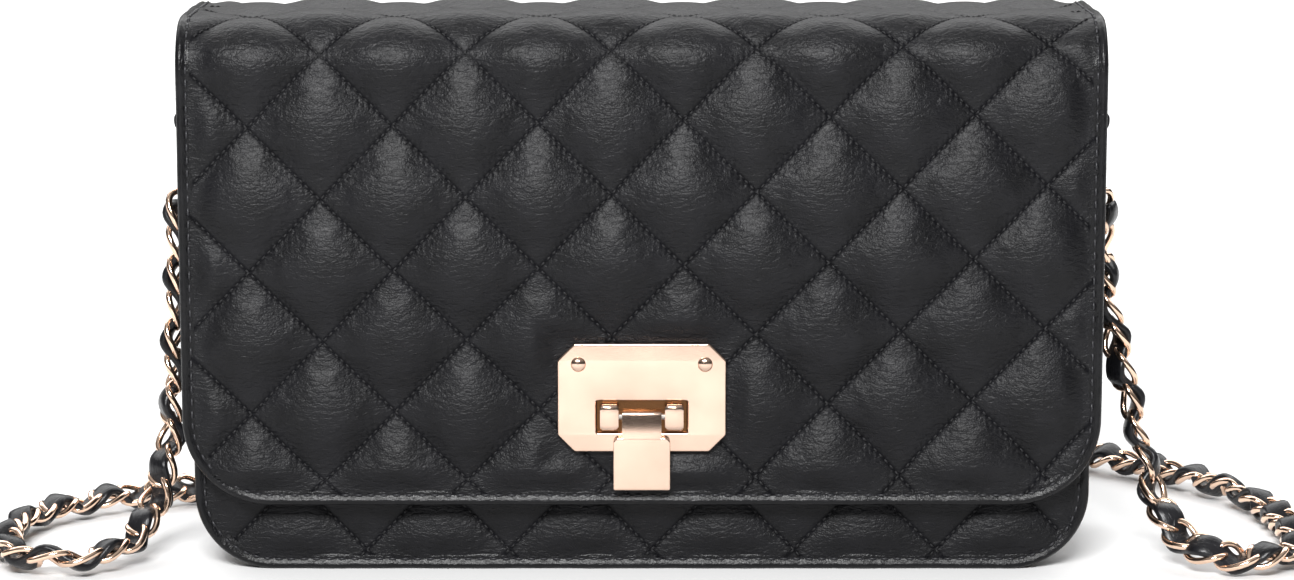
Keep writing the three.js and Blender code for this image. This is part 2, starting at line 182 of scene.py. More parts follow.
def leather(name, dark, light, roughness, coat=0.0, quilted=False, uv=True, depth=0.36 * MM):
    """Grained leather; the quilted one puckers along its stitch lines, and its specular level drops in them:
    painted shade in the creases.
    """
    look = Look(name)
    if uv:
        place = look.add("UVMap", uv_map="flat").outputs[0]
    else:
        place = look.add("TexCoord").outputs["Object"]
    height, broad = leather_grain(look, place)
    shine = 0.22
    if quilted:
        split = look.add("SeparateXYZ", {0: place})
        x_part = look.math("DIVIDE", split.outputs[0], quilt_pitch_x)
        s_part = look.math("DIVIDE", split.outputs[1], quilt_pitch_s)
        wave = look.math("SINE", look.math("MULTIPLY", split.outputs[0], 2 * math.pi / stitch_step_x))
        fade = 0.0
        crease = 0.0
        for lines in (look.math("ADD", x_part, s_part), look.math("SUBTRACT", x_part, s_part)):
            off_line = look.math("ABSOLUTE", look.math("SUBTRACT", look.math("FRACT", lines), 0.5))
            near = look.ramp(off_line, 0.0, 0.13, 1.0, 0.0)
            fade = look.math("MAXIMUM", look.math("MULTIPLY", near, near), fade)
            crease = look.math("MAXIMUM", look.ramp(off_line, 0.008, 0.036, 1.0, 0.0), crease)
        # Lower specular level along the stitch creases: painted shade in the creases.
        shine = look.ramp(crease, 0.0, 1.0, shine, 0.05)
        pucker = look.math("MULTIPLY", wave, fade)
        height = look.math("MULTIPLY_ADD", pucker, 0.12, height)
    look.bump(height, depth)
    look.set(
        base=look.mix(look.ramp(broad, 0.35, 0.65, 0.0, 1.0), dark, light),
        roughness=look.ramp(height, 0.3, 1.0, roughness + 0.05, roughness - 0.03),
        specular=shine,
        coat=coat,
        coat_roughness=0.3,
    )
    return look.material


def polished(name, color, roughness):
    """Plated metal with faint hairlines and a slight change of tone."""
    look = Look(name)
    place = look.add("TexCoord").outputs["Object"]
    hairline = look.noise(look.stretched(place, (1.0, 1.0, 14.0)), 700, 2.0)
    cloud = look.noise(place, 90, 2.0)
    darker = tuple(0.86 * c for c in color[:3]) + (1.0,)
    look.set(
        base=look.mix(look.ramp(cloud, 0.3, 0.7, 0.0, 1.0), color, darker),
        metallic=1.0,
        roughness=look.ramp(hairline, 0.3, 0.7, roughness * 0.8, roughness * 1.3),
    )
    look.bump(hairline, 0.01 * MM, 0.5)
    return look.material


def twill(name, dark, light):
    """Fine diagonal weave."""
    look = Look(name)
    place = look.add("UVMap", uv_map="flat").outputs[0]
    split = look.add("SeparateXYZ", {0: place})
    across, along = split.outputs[0], split.outputs[1]
    pitch = 2 * math.pi / (0.55 * MM)
    ribs = look.math("SINE", look.math("MULTIPLY", look.math("ADD", across, along), pitch))
    yarns = look.math("SINE", look.math("MULTIPLY", look.math("SUBTRACT", along, across), 2.2 * pitch))
    fuzz = look.noise(place, 900, 3.0)
    height = look.math("MULTIPLY_ADD", yarns, 0.3, look.math("MULTIPLY_ADD", ribs, 0.6, fuzz))
    look.bump(height, 0.08 * MM)
    look.set(
        base=look.mix(look.ramp(height, -0.3, 1.4, 0.0, 1.0), dark, light),
        roughness=0.85,
        sheen=0.3,
        sheen_roughness=0.5,
    )
    return look.material


def fibre_board(name):
    look = Look(name)
    place = look.add("TexCoord").outputs["Object"]
    flecks = look.noise(look.stretched(place, (1.0, 1.0, 3.0)), 500, 5.0)
    look.bump(flecks, 0.1 * MM)
    look.set(base=look.mix(flecks, (0.22, 0.17, 0.11, 1), (0.42, 0.34, 0.25, 1)), roughness=0.9)
    return look.material


def thread(name, dark, light, roughness):
    """Twisted thread."""
    look = Look(name)
    place = look.add("TexCoord").outputs["Object"]
    twist = look.noise(place, 3000, 1.0)
    look.bump(twist, 0.05 * MM)
    look.set(base=look.mix(twist, dark, light), roughness=roughness, specular=0.4)
    return look.material


black = (0.0020, 0.0020, 0.0028, 1)
black_light = (0.0045, 0.0045, 0.0058, 1)
looks = {
    "quilt": leather("quilted_leather", black, black_light, 0.44, 0.02, quilted=True),
    "plain": leather("plain_leather", black, black_light, 0.42, 0.04),
    "edge": leather("edge_leather", (0.002, 0.002, 0.0026, 1), (0.004, 0.004, 0.005, 1),
                    0.32, 0.05, depth=0.25 * MM),
    "lace": leather("lace_leather", (0.005, 0.005, 0.006, 1), (0.010, 0.010, 0.012, 1),
                    0.27, 0.2, depth=0.2 * MM),
    "solid_leather": leather("solid_leather", black, black_light, 0.42, uv=False),
    "gold": polished("rose_gold", (0.78, 0.56, 0.44, 1), 0.16),
    # Near-black gold for the foot in the lock's window: painted shade in the recess.
    "painted_shade_gold": polished("painted_recess_shade_gold", (0.13, 0.06, 0.025, 1), 0.3),
    "chain_gold": polished("chain_gold", (0.95, 0.68, 0.51, 1), 0.14),
    "dark_metal": polished("plain_metal", (0.42, 0.39, 0.36, 1), 0.35),
    "lining": twill("lining_twill", (0.012, 0.011, 0.011, 1), (0.045, 0.042, 0.042, 1)),
    "board": fibre_board("fibre_board"),
    "thread": thread("black_thread", (0.003, 0.003, 0.004, 1), (0.008, 0.008, 0.009, 1), 0.6),
    "edge_thread": thread("edge_thread", (0.008, 0.008, 0.010, 1), (0.022, 0.022, 0.025, 1), 0.45),
}

# ---------------------------------------------------------------- mesh helpers


def make_mesh(name, points, faces, look, uv=None):
    """A mesh object from points and faces; uv holds one (u, v) in metres for each point."""
    mesh = bpy.data.meshes.new(name)
    mesh.from_pydata([tuple(float(c) for c in p) for p in points], [], [tuple(map(int, f)) for f in faces])
    mesh.validate()
    if uv is not None:
        layer = mesh.uv_layers.new(name="flat")
        corner = np.zeros(len(mesh.loops), dtype=np.int32)
        mesh.loops.foreach_get("vertex_index", corner)
        layer.data.foreach_set("uv", np.asarray(uv, np.float32)[corner].ravel())
    mesh.polygons.foreach_set("use_smooth", [True] * len(mesh.polygons))
    mesh.materials.append(looks[look])
    obj = bpy.data.objects.new(name, mesh)
    bpy.context.collection.objects.link(obj)
    return obj


def joined(parts):
    """Several (points, faces, uv) parts as one."""
    points, faces, uvs, first = [], [], [], 0
    for part_points, part_faces, part_uv in parts:
        points.append(np.asarray(part_points, float))
        uvs.append(np.asarray(part_uv, float))
        faces.extend(tuple(i + first for i in f) for f in part_faces)
        first += len(part_points)
    return np.concatenate(points), faces, np.concatenate(uvs)


def along_line(s, along, values):
    """The values of a line's points at the distances s."""
    return np.stack([np.interp(s, along, values[:, k]) for k in range(3)], axis=-1)


def unit(v):
    v = np.asarray(v, float)
    return v / np.maximum(np.linalg.norm(v, axis=-1, keepdims=True), 1e-12)


def smooth_loop(points, per_side=4):
    """A closed Catmull-Rom loop through 2-D points."""
    points = np.asarray(points, float)
    out = []
    for i in range(len(points)):
        p0, p1, p2, p3 = (points[(i + k) % len(points)] for k in (-1, 0, 1, 2))
        for t in np.arange(per_side) / per_side:
            out.append(0.5 * (2 * p1 + (p2 - p0) * t + (2 * p0 - 5 * p1 + 4 * p2 - p3) * t ** 2
                              + (3 * p1 - p0 - 3 * p2 + p3) * t ** 3))
    return np.array(out)


def lengths(line):
    return np.concatenate([[0.0], np.cumsum(np.linalg.norm(np.diff(line, axis=0), axis=1))])


def grid_faces(rows, columns, closed_rows=False, closed_columns=False):
    """Quads over a grid of points, whose rows or columns may join up with the first."""
    faces = []
    for i in range(rows if closed_rows else rows - 1):
        here, there = i * columns, (i + 1) % rows * columns
        for k in range(columns if closed_columns else columns - 1):
            m = (k + 1) % columns
            faces.append((here + k, here + m, there + m, there + k))
    return faces


def capped_tube(rings, around):
    """The faces of a tube of rings, closed at both ends."""
    faces = grid_faces(rings, around, closed_columns=True)
    return faces + [tuple(range(around))[::-1], tuple((rings - 1) * around + k for k in range(around))]


def sweep(line, side, up, section, closed_path=False):
    """A closed section (a, b) carried along a line: a along side, b along up. The uv is (length, girth)."""
    rings = line[:, None, :] + section[None, :, 0, None] * side[:, None, :]
    rings = rings + section[None, :, 1, None] * up[:, None, :]
    count, around = len(line), len(section)
    girth = lengths(np.vstack([section, section[:1]]))[:-1]
    uv = np.stack(np.broadcast_arrays(lengths(line)[:, None], girth[None, :]), axis=-1).reshape(-1, 2)
    faces = grid_faces(count, around, True, True) if closed_path else capped_tube(count, around)
    return rings.reshape(-1, 3), faces, uv


def fix_normals(obj):
    mesh = bmesh.new()
    mesh.from_mesh(obj.data)
    bmesh.ops.recalc_face_normals(mesh, faces=mesh.faces)
    mesh.to_mesh(obj.data)
    mesh.free()


def stitches(name, starts, ends, up, thickness, look, rise=0.0):
    """Short threads from starts to ends, each a flattened capsule that dives in at both its ends."""
    across = unit(np.cross(ends - starts, up))
    profile = [(0.0, -1.1, 0.55), (0.14, -0.05, 0.95), (0.5, 0.38, 1.0), (0.86, -0.05, 0.95),
               (1.0, -1.1, 0.55)]
    angles = np.arange(6) * math.pi / 3
    parts = []
    for t, height, size in profile:
        centre = starts + (ends - starts) * t + up * (height * thickness + rise)
        for angle in angles:
            radius = 0.5 * thickness * size
            parts.append(centre + across * math.cos(angle) * radius * 1.25 + up * math.sin(angle) * radius)
    grid = np.stack(parts, axis=1)
    thread_faces = grid_faces(len(profile), len(angles), closed_columns=True)
    size = grid.shape[1]
    faces = [tuple(n * size + v for v in face) for n in range(len(starts)) for face in thread_faces]
    return make_mesh(name, grid.reshape(-1, 3), faces, look)


# ---------------------------------------------------------------- strap route and chain

floor_z = 4.8
strap_route = np.array([
    (-118, 0, 92.5), (-119, 0, 74), (-120, 0, 56), (-121, 0, 39), (-123, -1.5, 23), (-127, -10, 10),
    (-133, -24, 5.2), (-145, -32, floor_z), (-157.5, -26.5, floor_z), (-163, -12, floor_z),
    (-163.5, 4, floor_z), (-159.5, 20, floor_z), (-150, 33, floor_z), (-136, 44, floor_z),
    (-116, 54, floor_z), (-90, 60, floor_z), (-30, 60, floor_z), (50, 60, floor_z), (68, 67, floor_z),
    (75, 80, floor_z), (68, 93, floor_z), (50, 100, floor_z), (-50, 100, floor_z), (-68, 107, floor_z),
    (-75, 120, floor_z), (-68, 133, floor_z), (-50, 140, floor_z), (30, 138, floor_z), (90, 122, floor_z),
    (132, 90, floor_z), (155, 60, floor_z), (165, 34, floor_z), (168.5, 8, floor_z), (168, -12, floor_z),
    (162.5, -25, floor_z), (150.5, -30.5, floor_z), (139, -24, 6.5), (133, -12, 13), (129.5, -3, 25),
    (125.5, 0, 40), (121, 0, 58), (118.5, 0, 76), (118, 0, 92.5),
]) * MM

link_pitch = 8.3 * MM
wire = 1.7 * MM
link_long = 5.3 * MM
link_half = 3.75 * MM
link_twist = 1.35 * MM
lace_width = 6.8 * MM
lace_thick = 1.9 * MM
lace_swing = 2.35 * MM


def centripetal(points):
    """A centripetal Catmull-Rom curve through the points."""
    per_span = 24
    points = np.vstack([2 * points[0] - points[1], points, 2 * points[-1] - points[-2]])
    out = []
    for i in range(1, len(points) - 2):
        p = points[i - 1:i + 3]
        knots = np.concatenate([[0.0], np.cumsum(np.linalg.norm(np.diff(p, axis=0), axis=1) ** 0.5)])
        for t in np.linspace(knots[1], knots[2], per_span, endpoint=False):
            a = [(knots[k + 1] - t) / (knots[k + 1] - knots[k]) * p[k]
                 + (t - knots[k]) / (knots[k + 1] - knots[k]) * p[k + 1] for k in range(3)]
            b = [(knots[k + 2] - t) / (knots[k + 2] - knots[k]) * a[k]
                 + (t - knots[k]) / (knots[k + 2] - knots[k]) * a[k + 1] for k in range(2)]
            share = (t - knots[1]) / (knots[2] - knots[1])
            out.append((1 - share) * b[0] + share * b[1])
    out.append(points[-2])
    return np.array(out)


class Route:
    """The strap's line with, at each distance, its direction, its flat side and its face."""

    def __init__(self, points):
        self.line = centripetal(points)
        self.along = lengths(self.line)
        self.length = float(self.along[-1])

    def at(self, s):
        s = np.asarray(s, float)
        step = 1.5 * MM
        point = along_line(s, self.along, self.line)
        ahead, behind = (along_line(s + shift, self.along, self.line) for shift in (step, -step))
        direction = unit(ahead - behind)
        outward = np.zeros_like(point)
        outward[..., 0] = np.sign(point[..., 0])
        hang = np.clip((point[..., 2] - 8 * MM) / (26 * MM), 0, 1)[..., None]
        hang = hang * hang * (3 - 2 * hang)
        up = np.zeros_like(point)
        up[..., 2] = 1
        face = outward * hang + up * (1 - hang)
        face = unit(face - direction * (face * direction).sum(-1, keepdims=True))
        turn = (0.42 * np.sin(s * 61.0 + 0.8) + 0.22 * np.sin(s * 137.0 + 2.0))[..., None]
        side = unit(np.cross(direction, face))
        turned_face = face * np.cos(turn) + side * np.sin(turn)
        turned_side = unit(np.cross(direction, turned_face))
        return point, direction, turned_side, turned_face


route = Route(strap_route)
links = int(round(route.length / link_pitch))
link_pitch = route.length / links
top_links = 6


def lace_part(first, last, name):
    """The leather lace from one distance to another, weaving over and under the links' crossings."""
    s = np.linspace(first, last, max(8, int((last - first) / (0.8 * MM))))
    point, direction, side, face = route.at(s)
    swing = lace_swing * np.sin(math.pi * s / link_pitch)
    sway = 0.35 * MM * np.sin(math.pi * s / link_pitch * 2 + 0.7)
    line = point + face * swing[:, None] + side * sway[:, None]
    direction = unit(np.gradient(line, axis=0))
    face = unit(face - direction * (face * direction).sum(-1, keepdims=True))
    half, thick = lace_width / 2, lace_thick / 2
    section = smooth_loop([(-half, 0), (-half * 0.8, thick), (0, thick * 1.25), (half * 0.8, thick),
                           (half, 0), (half * 0.8, -thick), (0, -thick * 1.25), (-half * 0.8, -thick)], 2)
    points, faces, uv = sweep(line, side, face, section)
    obj = make_mesh(name, points, faces, "lace", uv)
    fix_normals(obj)
    return obj


def links_part(first, last, name):
    """Gold curb links, each twisted so that it lies through its neighbours."""
    parts = []
    around = np.linspace(0, 2 * math.pi, 26, endpoint=False)
    ring = np.arange(8) * math.pi / 4
    section = np.stack([np.cos(ring), np.sin(ring)], axis=1) * wire / 2
    for n in range(first, last):
        s = (n + 0.5) * link_pitch
        reach = s + link_long * np.cos(around)
        point, direction, side, face = route.at(reach)
        past = np.clip(reach, 0, route.length) - reach
        point = point - direction * past[:, None]
        line = point + side * (link_half * np.sin(around))[:, None]
        line = line + face * (link_twist * np.sin(2 * around))[:, None]
        tangent = unit(np.roll(line, -1, axis=0) - np.roll(line, 1, axis=0))
        out = unit(np.cross(tangent, face))
        up = unit(np.cross(out, tangent))
        parts.append(sweep(line, out, up, section, closed_path=True))
    points, faces, uv = joined(parts)
    obj = make_mesh(name, points, faces, "chain_gold", uv)
    fix_normals(obj)
    return obj


def make_strap():
    top = top_links * link_pitch
    lace = lace_part(top, route.length - top, "strap_lace")
    chain = links_part(top_links, links - top_links, "strap_links")
    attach(lace, "bag")
    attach(chain, "bag")
    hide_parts("chain_strap")
    going = [chain]
    for side_name, sign in (("left", -1), ("right", 1)):
        lace_ends, link_ends = (2.0 * MM, top), (0, top_links)
        if sign > 0:
            lace_ends, link_ends = (route.length - top, route.length - 2.0 * MM), (links - top_links, links)
        pieces = [lace_part(*lace_ends, f"strap_lace_{side_name}"),
                  links_part(*link_ends, f"strap_links_{side_name}")]
        join_z = float(route.at(top if sign < 0 else route.length - top)[0][2])
        for piece in pieces:
            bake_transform(piece)
        going += pieces
    s = np.arange(top, route.length - top, 1 * MM)
    path = route.at(s)[0]


make_strap()

# ---------------------------------------------------------------- the flap's outer profile


class Profile:
    """The outer face from the back panel's foot, over both rolls and down the flap: (y, z) by distance."""

    def __init__(self, foot, inset=0.0):
        self.inset = inset
        quarter = math.pi / 2 * roll
        across = back_face - flap_face - 2 * roll
        self.steps = np.cumsum([0.0, fold - foot, quarter, across, quarter, fold - flap_bottom])
        self.foot = foot
        self.length = float(self.steps[-1])

    def at(self, s):
        s = np.asarray(s, float)
        k = self.steps
        y = np.zeros_like(s)
        z = np.zeros_like(s)
        angle = np.zeros_like(s)
        up = s <= k[1]
        y[up], z[up] = back_face, self.foot + s[up]
        for first, centre, start in ((1, back_face - roll, 0.0), (3, flap_face + roll, math.pi / 2)):
            here = (s > k[first]) & (s <= k[first + 1])
            turn = start + (s[here] - k[first]) / roll
            y[here] = centre + roll * np.cos(turn)
            z[here] = fold + roll * np.sin(turn)
            angle[here] = turn
        top = (s > k[2]) & (s <= k[3])
        y[top], z[top] = back_face - roll - (s[top] - k[2]), fold + roll
        angle[top] = math.pi / 2
        down = s > k[4]
        y[down], z[down] = flap_face, fold - (s[down] - k[4])
        angle[down] = math.pi
        normal_y, normal_z = np.cos(angle), np.sin(angle)
        y = y - normal_y * self.inset
        z = z - normal_z * self.inset
        return y, z, normal_y, normal_z


# ---------------------------------------------------------------- quilting

puff = 3.8 * MM
stitch_sink = 1.3 * MM
under_binding = 1.3 * MM
blown_share = 0.25
quilt_steps = 16
lock_low, lock_high = box("lock_plate")


def smoothstep(x, low, high):
    t = np.clip((x - low) / (high - low), 0, 1)
    return t * t * (3 - 2 * t)


class QuiltSheet:
    """A flat sheet of triangles whose edges run along the diagonal stitch lines."""

    def __init__(self, half, s_low, s_high, node_x, node_s):
        dx, ds = quilt_pitch_x / (2 * quilt_steps), quilt_pitch_s / (2 * quilt_steps)
        i = np.arange(math.ceil((-half - node_x) / dx), math.floor((half - node_x) / dx) + 1)
        j = np.arange(math.ceil((s_low - node_s) / ds), math.floor((s_high - node_s) / ds) + 1)
        self.i, self.j = np.meshgrid(i, j, indexing="ij")
        self.x = node_x + self.i * dx
        self.s = node_s + self.j * ds
        self.node = (node_x, node_s)
        whole = 2 * quilt_steps
        self.on_line = ((self.i + self.j) % whole == 0) | ((self.i - self.j) % whole == 0)
        self.shape = self.i.shape
        a = (self.i + self.j) / whole
        b = (self.i - self.j) / whole
        self.cell = (np.floor(a).astype(int), np.floor(b).astype(int))
        self.pillow = np.abs(np.sin(math.pi * a) * np.sin(math.pi * b))

    def faces(self, keep):
        count_i, count_j = self.shape
        whole = 2 * quilt_steps
        out = []
        for i in range(count_i - 1):
            for j in range(count_j - 1):
                p, q = i * count_j + j, (i + 1) * count_j + j
                r, t = q + 1, p + 1
                rising = (self.i[i, j] - self.j[i, j]) % whole == 0
                falling = (self.i[i, j] + self.j[i, j] + 1) % whole == 0
                if rising or (not falling and (i + j) % 2):
                    pair = ((p, q, r), (p, r, t))
                else:
                    pair = ((p, q, t), (q, r, t))
                out.extend(f for f in pair if keep[f[0]] and keep[f[1]] and keep[f[2]])
        return out


def quilt_rise(sheet, seed):
    """The height of the padded leather over its stitch lines, a little different in each diamond."""
    cell = sheet.cell[0] * 7919 + sheet.cell[1] * 104729 + seed
    vary = 0.92 + 0.16 * np.abs(np.modf(np.sin(cell * 12.9898) * 43758.5453)[0])
    return puff * vary * sheet.pillow ** 0.72


def place_sheet(sheet, rise, to_space, keep_region, name):
    x, s, h = sheet.x.ravel(), sheet.s.ravel(), rise.ravel()
    keep = keep_region(x, s)
    faces = sheet.faces(keep)
    used = np.zeros(len(x), bool)
    used[np.unique(np.array(faces).ravel())] = True
    index = np.cumsum(used) - 1
    points = to_space(x[used], s[used], h[used])
    uv = np.stack([x[used] - sheet.node[0], s[used] - sheet.node[1]], axis=1)
    # Stitch lines pass through the half-way values of the pattern's wave.
    uv[:, 0] += quilt_pitch_x / 2
    return make_mesh(name, points, [[index[v] for v in f] for f in faces], "quilt", uv)


def quilt_stitches(sheet, to_space, keep_region, name):
    """Threads along both families of stitch lines."""
    node_x, node_s = sheet.node
    low_x, high_x = sheet.x.min(), sheet.x.max()
    low_s, high_s = sheet.s.min(), sheet.s.max()
    slope = quilt_pitch_s / quilt_pitch_x
    starts, ends, ups = [], [], []
    for sign in (1, -1):
        reach = int((high_x - low_x) / quilt_pitch_x + (high_s - low_s) / quilt_pitch_s) + 3
        for line in range(-reach, reach + 1):
            x = np.arange(math.floor(low_x / stitch_step_x), math.ceil(high_x / stitch_step_x))
            x = x * stitch_step_x
            s = node_s + sign * (slope * (x - node_x) - line * quilt_pitch_s)
            half = 0.36 * stitch_step_x
            first, last = (x - half, s - sign * slope * half), (x + half, s + sign * slope * half)
            inside = keep_region(*first) & keep_region(*last)
            inside &= (s > low_s) & (s < high_s)
            if inside.any():
                zero = np.zeros(int(inside.sum()))
                starts.append(to_space(first[0][inside], first[1][inside], zero))
                ends.append(to_space(last[0][inside], last[1][inside], zero))
                lifted = to_space(x[inside], s[inside], zero + 1 * MM)
                ups.append(unit(lifted - to_space(x[inside], s[inside], zero)))
    starts, ends, ups = (np.concatenate(parts) for parts in (starts, ends, ups))
    return stitches(name, starts, ends, ups, 0.42 * MM, "thread", rise=0.12 * MM)


def rounded_inside(x, z, half, bottom, corner, inset):
    """Whether (x, z) lies inside a panel with round lower corners, drawn in by inset."""
    half, bottom, corner = half - inset, bottom + inset, corner - inset
    in_box = (np.abs(x) <= half) & (z >= bottom)
    corner_x, corner_z = half - corner, bottom + corner
    in_corner = (np.abs(x) > corner_x) & (z < corner_z)
    far = np.hypot(np.abs(x) - corner_x, z - corner_z) > corner
    return in_box & ~(in_corner & far)


main = Profile(back_low[2])
front_start = float(main.steps[4])


def front_s(z):
    return front_start + (fold - z)


row_node_s = front_s(79 * MM)
row_node_x = 10.4 * MM
row_tilt = math.tan(math.radians(1.1))


def tilt(x, s):
    """The flap's rows rise slightly to the right; the tilt fades out at the sheet's ends."""
    begun = smoothstep(s, main.steps[3] - 10 * MM, main.steps[4])
    ended = smoothstep(s, main.length - 14 * MM, main.length)
    return s - row_tilt * x * begun * (1 - ended)


def edge_fade(x, s):
    """Padding flattens where the sheet runs under its binding."""
    half = np.where(s < main.steps[1], body_half, flap_half)
    y, z, _, _ = main.at(s)
    sides = smoothstep(half - np.abs(x), 3.6 * MM, 10 * MM)
    front = s > main.steps[4]
    low = np.where(front, z - flap_bottom, np.where(s < main.steps[1], z - back_low[2], 1.0))
    return np.minimum(sides, smoothstep(low, 3.4 * MM, 10 * MM))


def lock_fade(x, z):
    """Padding is pressed flat under the lock plate."""
    out_x = np.abs(x) - lock_high[0]
    out_z = np.abs(z - (lock_low[2] + lock_high[2]) / 2) - (lock_high[2] - lock_low[2]) / 2
    away = np.maximum(np.maximum(out_x, out_z), 0)
    return smoothstep(away, -0.5 * MM, 7 * MM)


def flap_to_space(x, s, h):
    s = tilt(x, s)
    y, z, normal_y, normal_z = main.at(s)
    front = s > main.steps[4]
    fade = edge_fade(x, s)
    pressed = np.where(front, lock_fade(x, z), 1.0)
    sink = stitch_sink * (0.25 + 0.75 * fade * pressed)
    k = main.steps
    over_top = smoothstep(s, k[1], k[2]) * (1 - smoothstep(s, k[3], k[4] + 8 * MM))
    rise = h * fade * (0.12 + 0.88 * pressed) * (1 - 0.42 * over_top) - sink
    crown = smoothstep(z, 48 * MM, 88 * MM) * (1 - smoothstep(z, 86 * MM, fold)) * front
    belly = (0.4 * MM + 2.8 * MM * crown) * np.cos(np.clip(x / flap_half, -1, 1) * math.pi / 2) ** 0.6
    rise = rise + belly * fade * pressed
    return np.stack([x, y + normal_y * rise, z + normal_z * rise], axis=1)


def from_snap(x, z):
    """How far (x, z) lies outside the snap's socket."""
    low, high = box("snap_socket")
    snap_x, _, snap_z = middle_of("snap_socket")
    return np.hypot(x - snap_x, z - snap_z) - (high[0] - low[0]) / 2


def body_to_space(x, s, h):
    """The body's front panel: s is its height."""
    fade = smoothstep(body_half - np.abs(x), 3.6 * MM, 10 * MM) * smoothstep(s, 3.4 * MM, 9 * MM)
    fade = fade * smoothstep(from_snap(x, s), 0.0, 6 * MM)
    rise = h * 0.62 * fade - 0.9 * MM * (0.4 + 0.6 * fade)
    return np.stack([x, body_face - rise, s], axis=1)


# ---------------------------------------------------------------- padding by cloth simulation

sim_scale = 20.0
sim_frames = 14


def inflate(sheet, rise, name):
    """Leather pinned along its stitch lines, a little larger than its cell, blown out by its padding."""
    x, s, h = (v.ravel() * sim_scale for v in (sheet.x, sheet.s, rise * 0.55))
    faces = sheet.faces(np.ones(len(x), bool))
    mesh = bpy.data.meshes.new(name)
    mesh.from_pydata(list(zip(x.tolist(), s.tolist(), h.tolist())), [], faces)
    obj = bpy.data.objects.new(name, mesh)
    bpy.context.collection.objects.link(obj)
    border = np.zeros(sheet.shape, bool)
    border[[0, -1], :] = True
    border[:, [0, -1]] = True
    held = obj.vertex_groups.new(name="held")
    held.add(np.nonzero((sheet.on_line | border).ravel())[0].tolist(), 1.0, "REPLACE")
    cloth = obj.modifiers.new("Cloth", "CLOTH")
    settings = cloth.settings
    settings.quality = 4
    settings.mass = 0.25
    settings.tension_stiffness = 40
    settings.compression_stiffness = 30
    settings.shear_stiffness = 12
    settings.bending_stiffness = 0.8
    settings.vertex_group_mass = "held"
    settings.shrink_min = -0.02
    settings.use_pressure = True
    settings.uniform_pressure_force = 0.5
    settings.effector_weights.gravity = 0
    cloth.collision_settings.use_collision = False
    cloth.collision_settings.use_self_collision = False
    scene = bpy.context.scene
    cloth.point_cache.frame_start = 1
    cloth.point_cache.frame_end = sim_frames
    for number in range(1, sim_frames + 1):
        scene.frame_set(number)
    evaluated = obj.evaluated_get(bpy.context.evaluated_depsgraph_get())
    moved = np.empty(len(x) * 3)
    evaluated.data.vertices.foreach_get("co", moved)
    moved = moved.reshape(-1, 3)
    bpy.data.objects.remove(obj)
    bpy.data.meshes.remove(mesh)
    scene.frame_set(1)
    shift = np.clip((moved[:, :2] - np.stack([x, s], axis=1)) / sim_scale, -1.2 * MM, 1.2 * MM)
    blown = moved[:, 2].reshape(sheet.shape) / sim_scale
    blown = np.clip(blown * puff / np.percentile(blown, 99), -0.2 * MM, 1.15 * puff)
    return shift.reshape(sheet.shape + (2,)), blown_share * blown + (1 - blown_share) * rise


# ---------------------------------------------------------------- flap, back and body front


def make_flap():
    sheet = QuiltSheet(flap_half, 0.0, main.length + 3 * MM, row_node_x, row_node_s)
    shift, rise = inflate(sheet, quilt_rise(sheet, 5), "flap_padding")
    middle = float((main.steps[2] + main.steps[3]) / 2)
    split = sheet.s[0][np.abs(sheet.s[0] - middle).argmin()]
    ds = quilt_pitch_s / (2 * quilt_steps)

    def region(x, s):
        at = tilt(x, s)
        _, z, _, _ = main.at(at)
        on_front = rounded_inside(x, z, flap_half, flap_bottom, flap_corner, under_binding)
        on_back = rounded_inside(x, z, body_half, back_low[2], body_corner, under_binding)
        over = np.abs(x) < flap_half - under_binding
        behind = np.where(at < main.steps[1], on_back, over)
        return np.where(at > main.steps[4], on_front & (at < main.length), behind)

    sheet.x = sheet.x + shift[..., 0]
    rest_s = sheet.s.copy()
    sheet.s = sheet.s + shift[..., 1]
    pieces = []
    for name, part in (("flap_quilt", rest_s >= split - ds / 4), ("back_quilt", rest_s <= split + ds / 4)):
        chosen = part.ravel()
        obj = place_sheet(sheet, rise, flap_to_space, lambda x, s: region(x, s) & chosen, name)
        pieces.append(obj)
    sheet.s = rest_s
    threads = [
        quilt_stitches(sheet, flap_to_space, lambda x, s: region(x, s) & (s > split), "flap_stitches"),
        quilt_stitches(sheet, flap_to_space, lambda x, s: region(x, s) & (s <= split), "back_stitches"),
    ]
    for obj in (pieces[0], threads[0]):
        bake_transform(obj)
    for obj in (pieces[1], threads[1]):
        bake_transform(obj)
    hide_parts("flap_front_panel")
    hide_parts("back_panel", "flap_top_panel")


def make_body_front():
    sheet = QuiltSheet(body_half, -2 * MM, front_top, row_node_x - 8 * MM, 5.0 * MM)
    rise = quilt_rise(sheet, 11)

    def region(x, s):
        return rounded_inside(x, s, body_half, 0, body_corner, under_binding) & (s < front_top)

    obj = place_sheet(sheet, rise, body_to_space, region, "body_front_quilt")
    sewn = quilt_stitches(sheet, body_to_space, lambda x, s: region(x, s) & (from_snap(x, s) > 0.4 * MM),
                          "body_front_stitches")
    for piece in (obj, sewn):
        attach(piece, "bag")
    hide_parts("front_panel")


make_flap()
make_body_front()

# ---------------------------------------------------------------- edge bindings

binding_section = smooth_loop(np.array([
    (-4.5, -1.6), (-4.3, -0.9), (-3.8, -0.5), (-3.1, -0.3), (-2.6, -0.3), (-2.1, -0.08), (-1.3, 0.3),
    (-0.6, 0.12), (-0.05, -0.6), (0.0, -1.8), (0.0, -3.2), (-0.3, -4.4), (-1.2, -4.9), (-3.4, -4.9),
    (-4.5, -3.6),
]) * MM, 3)


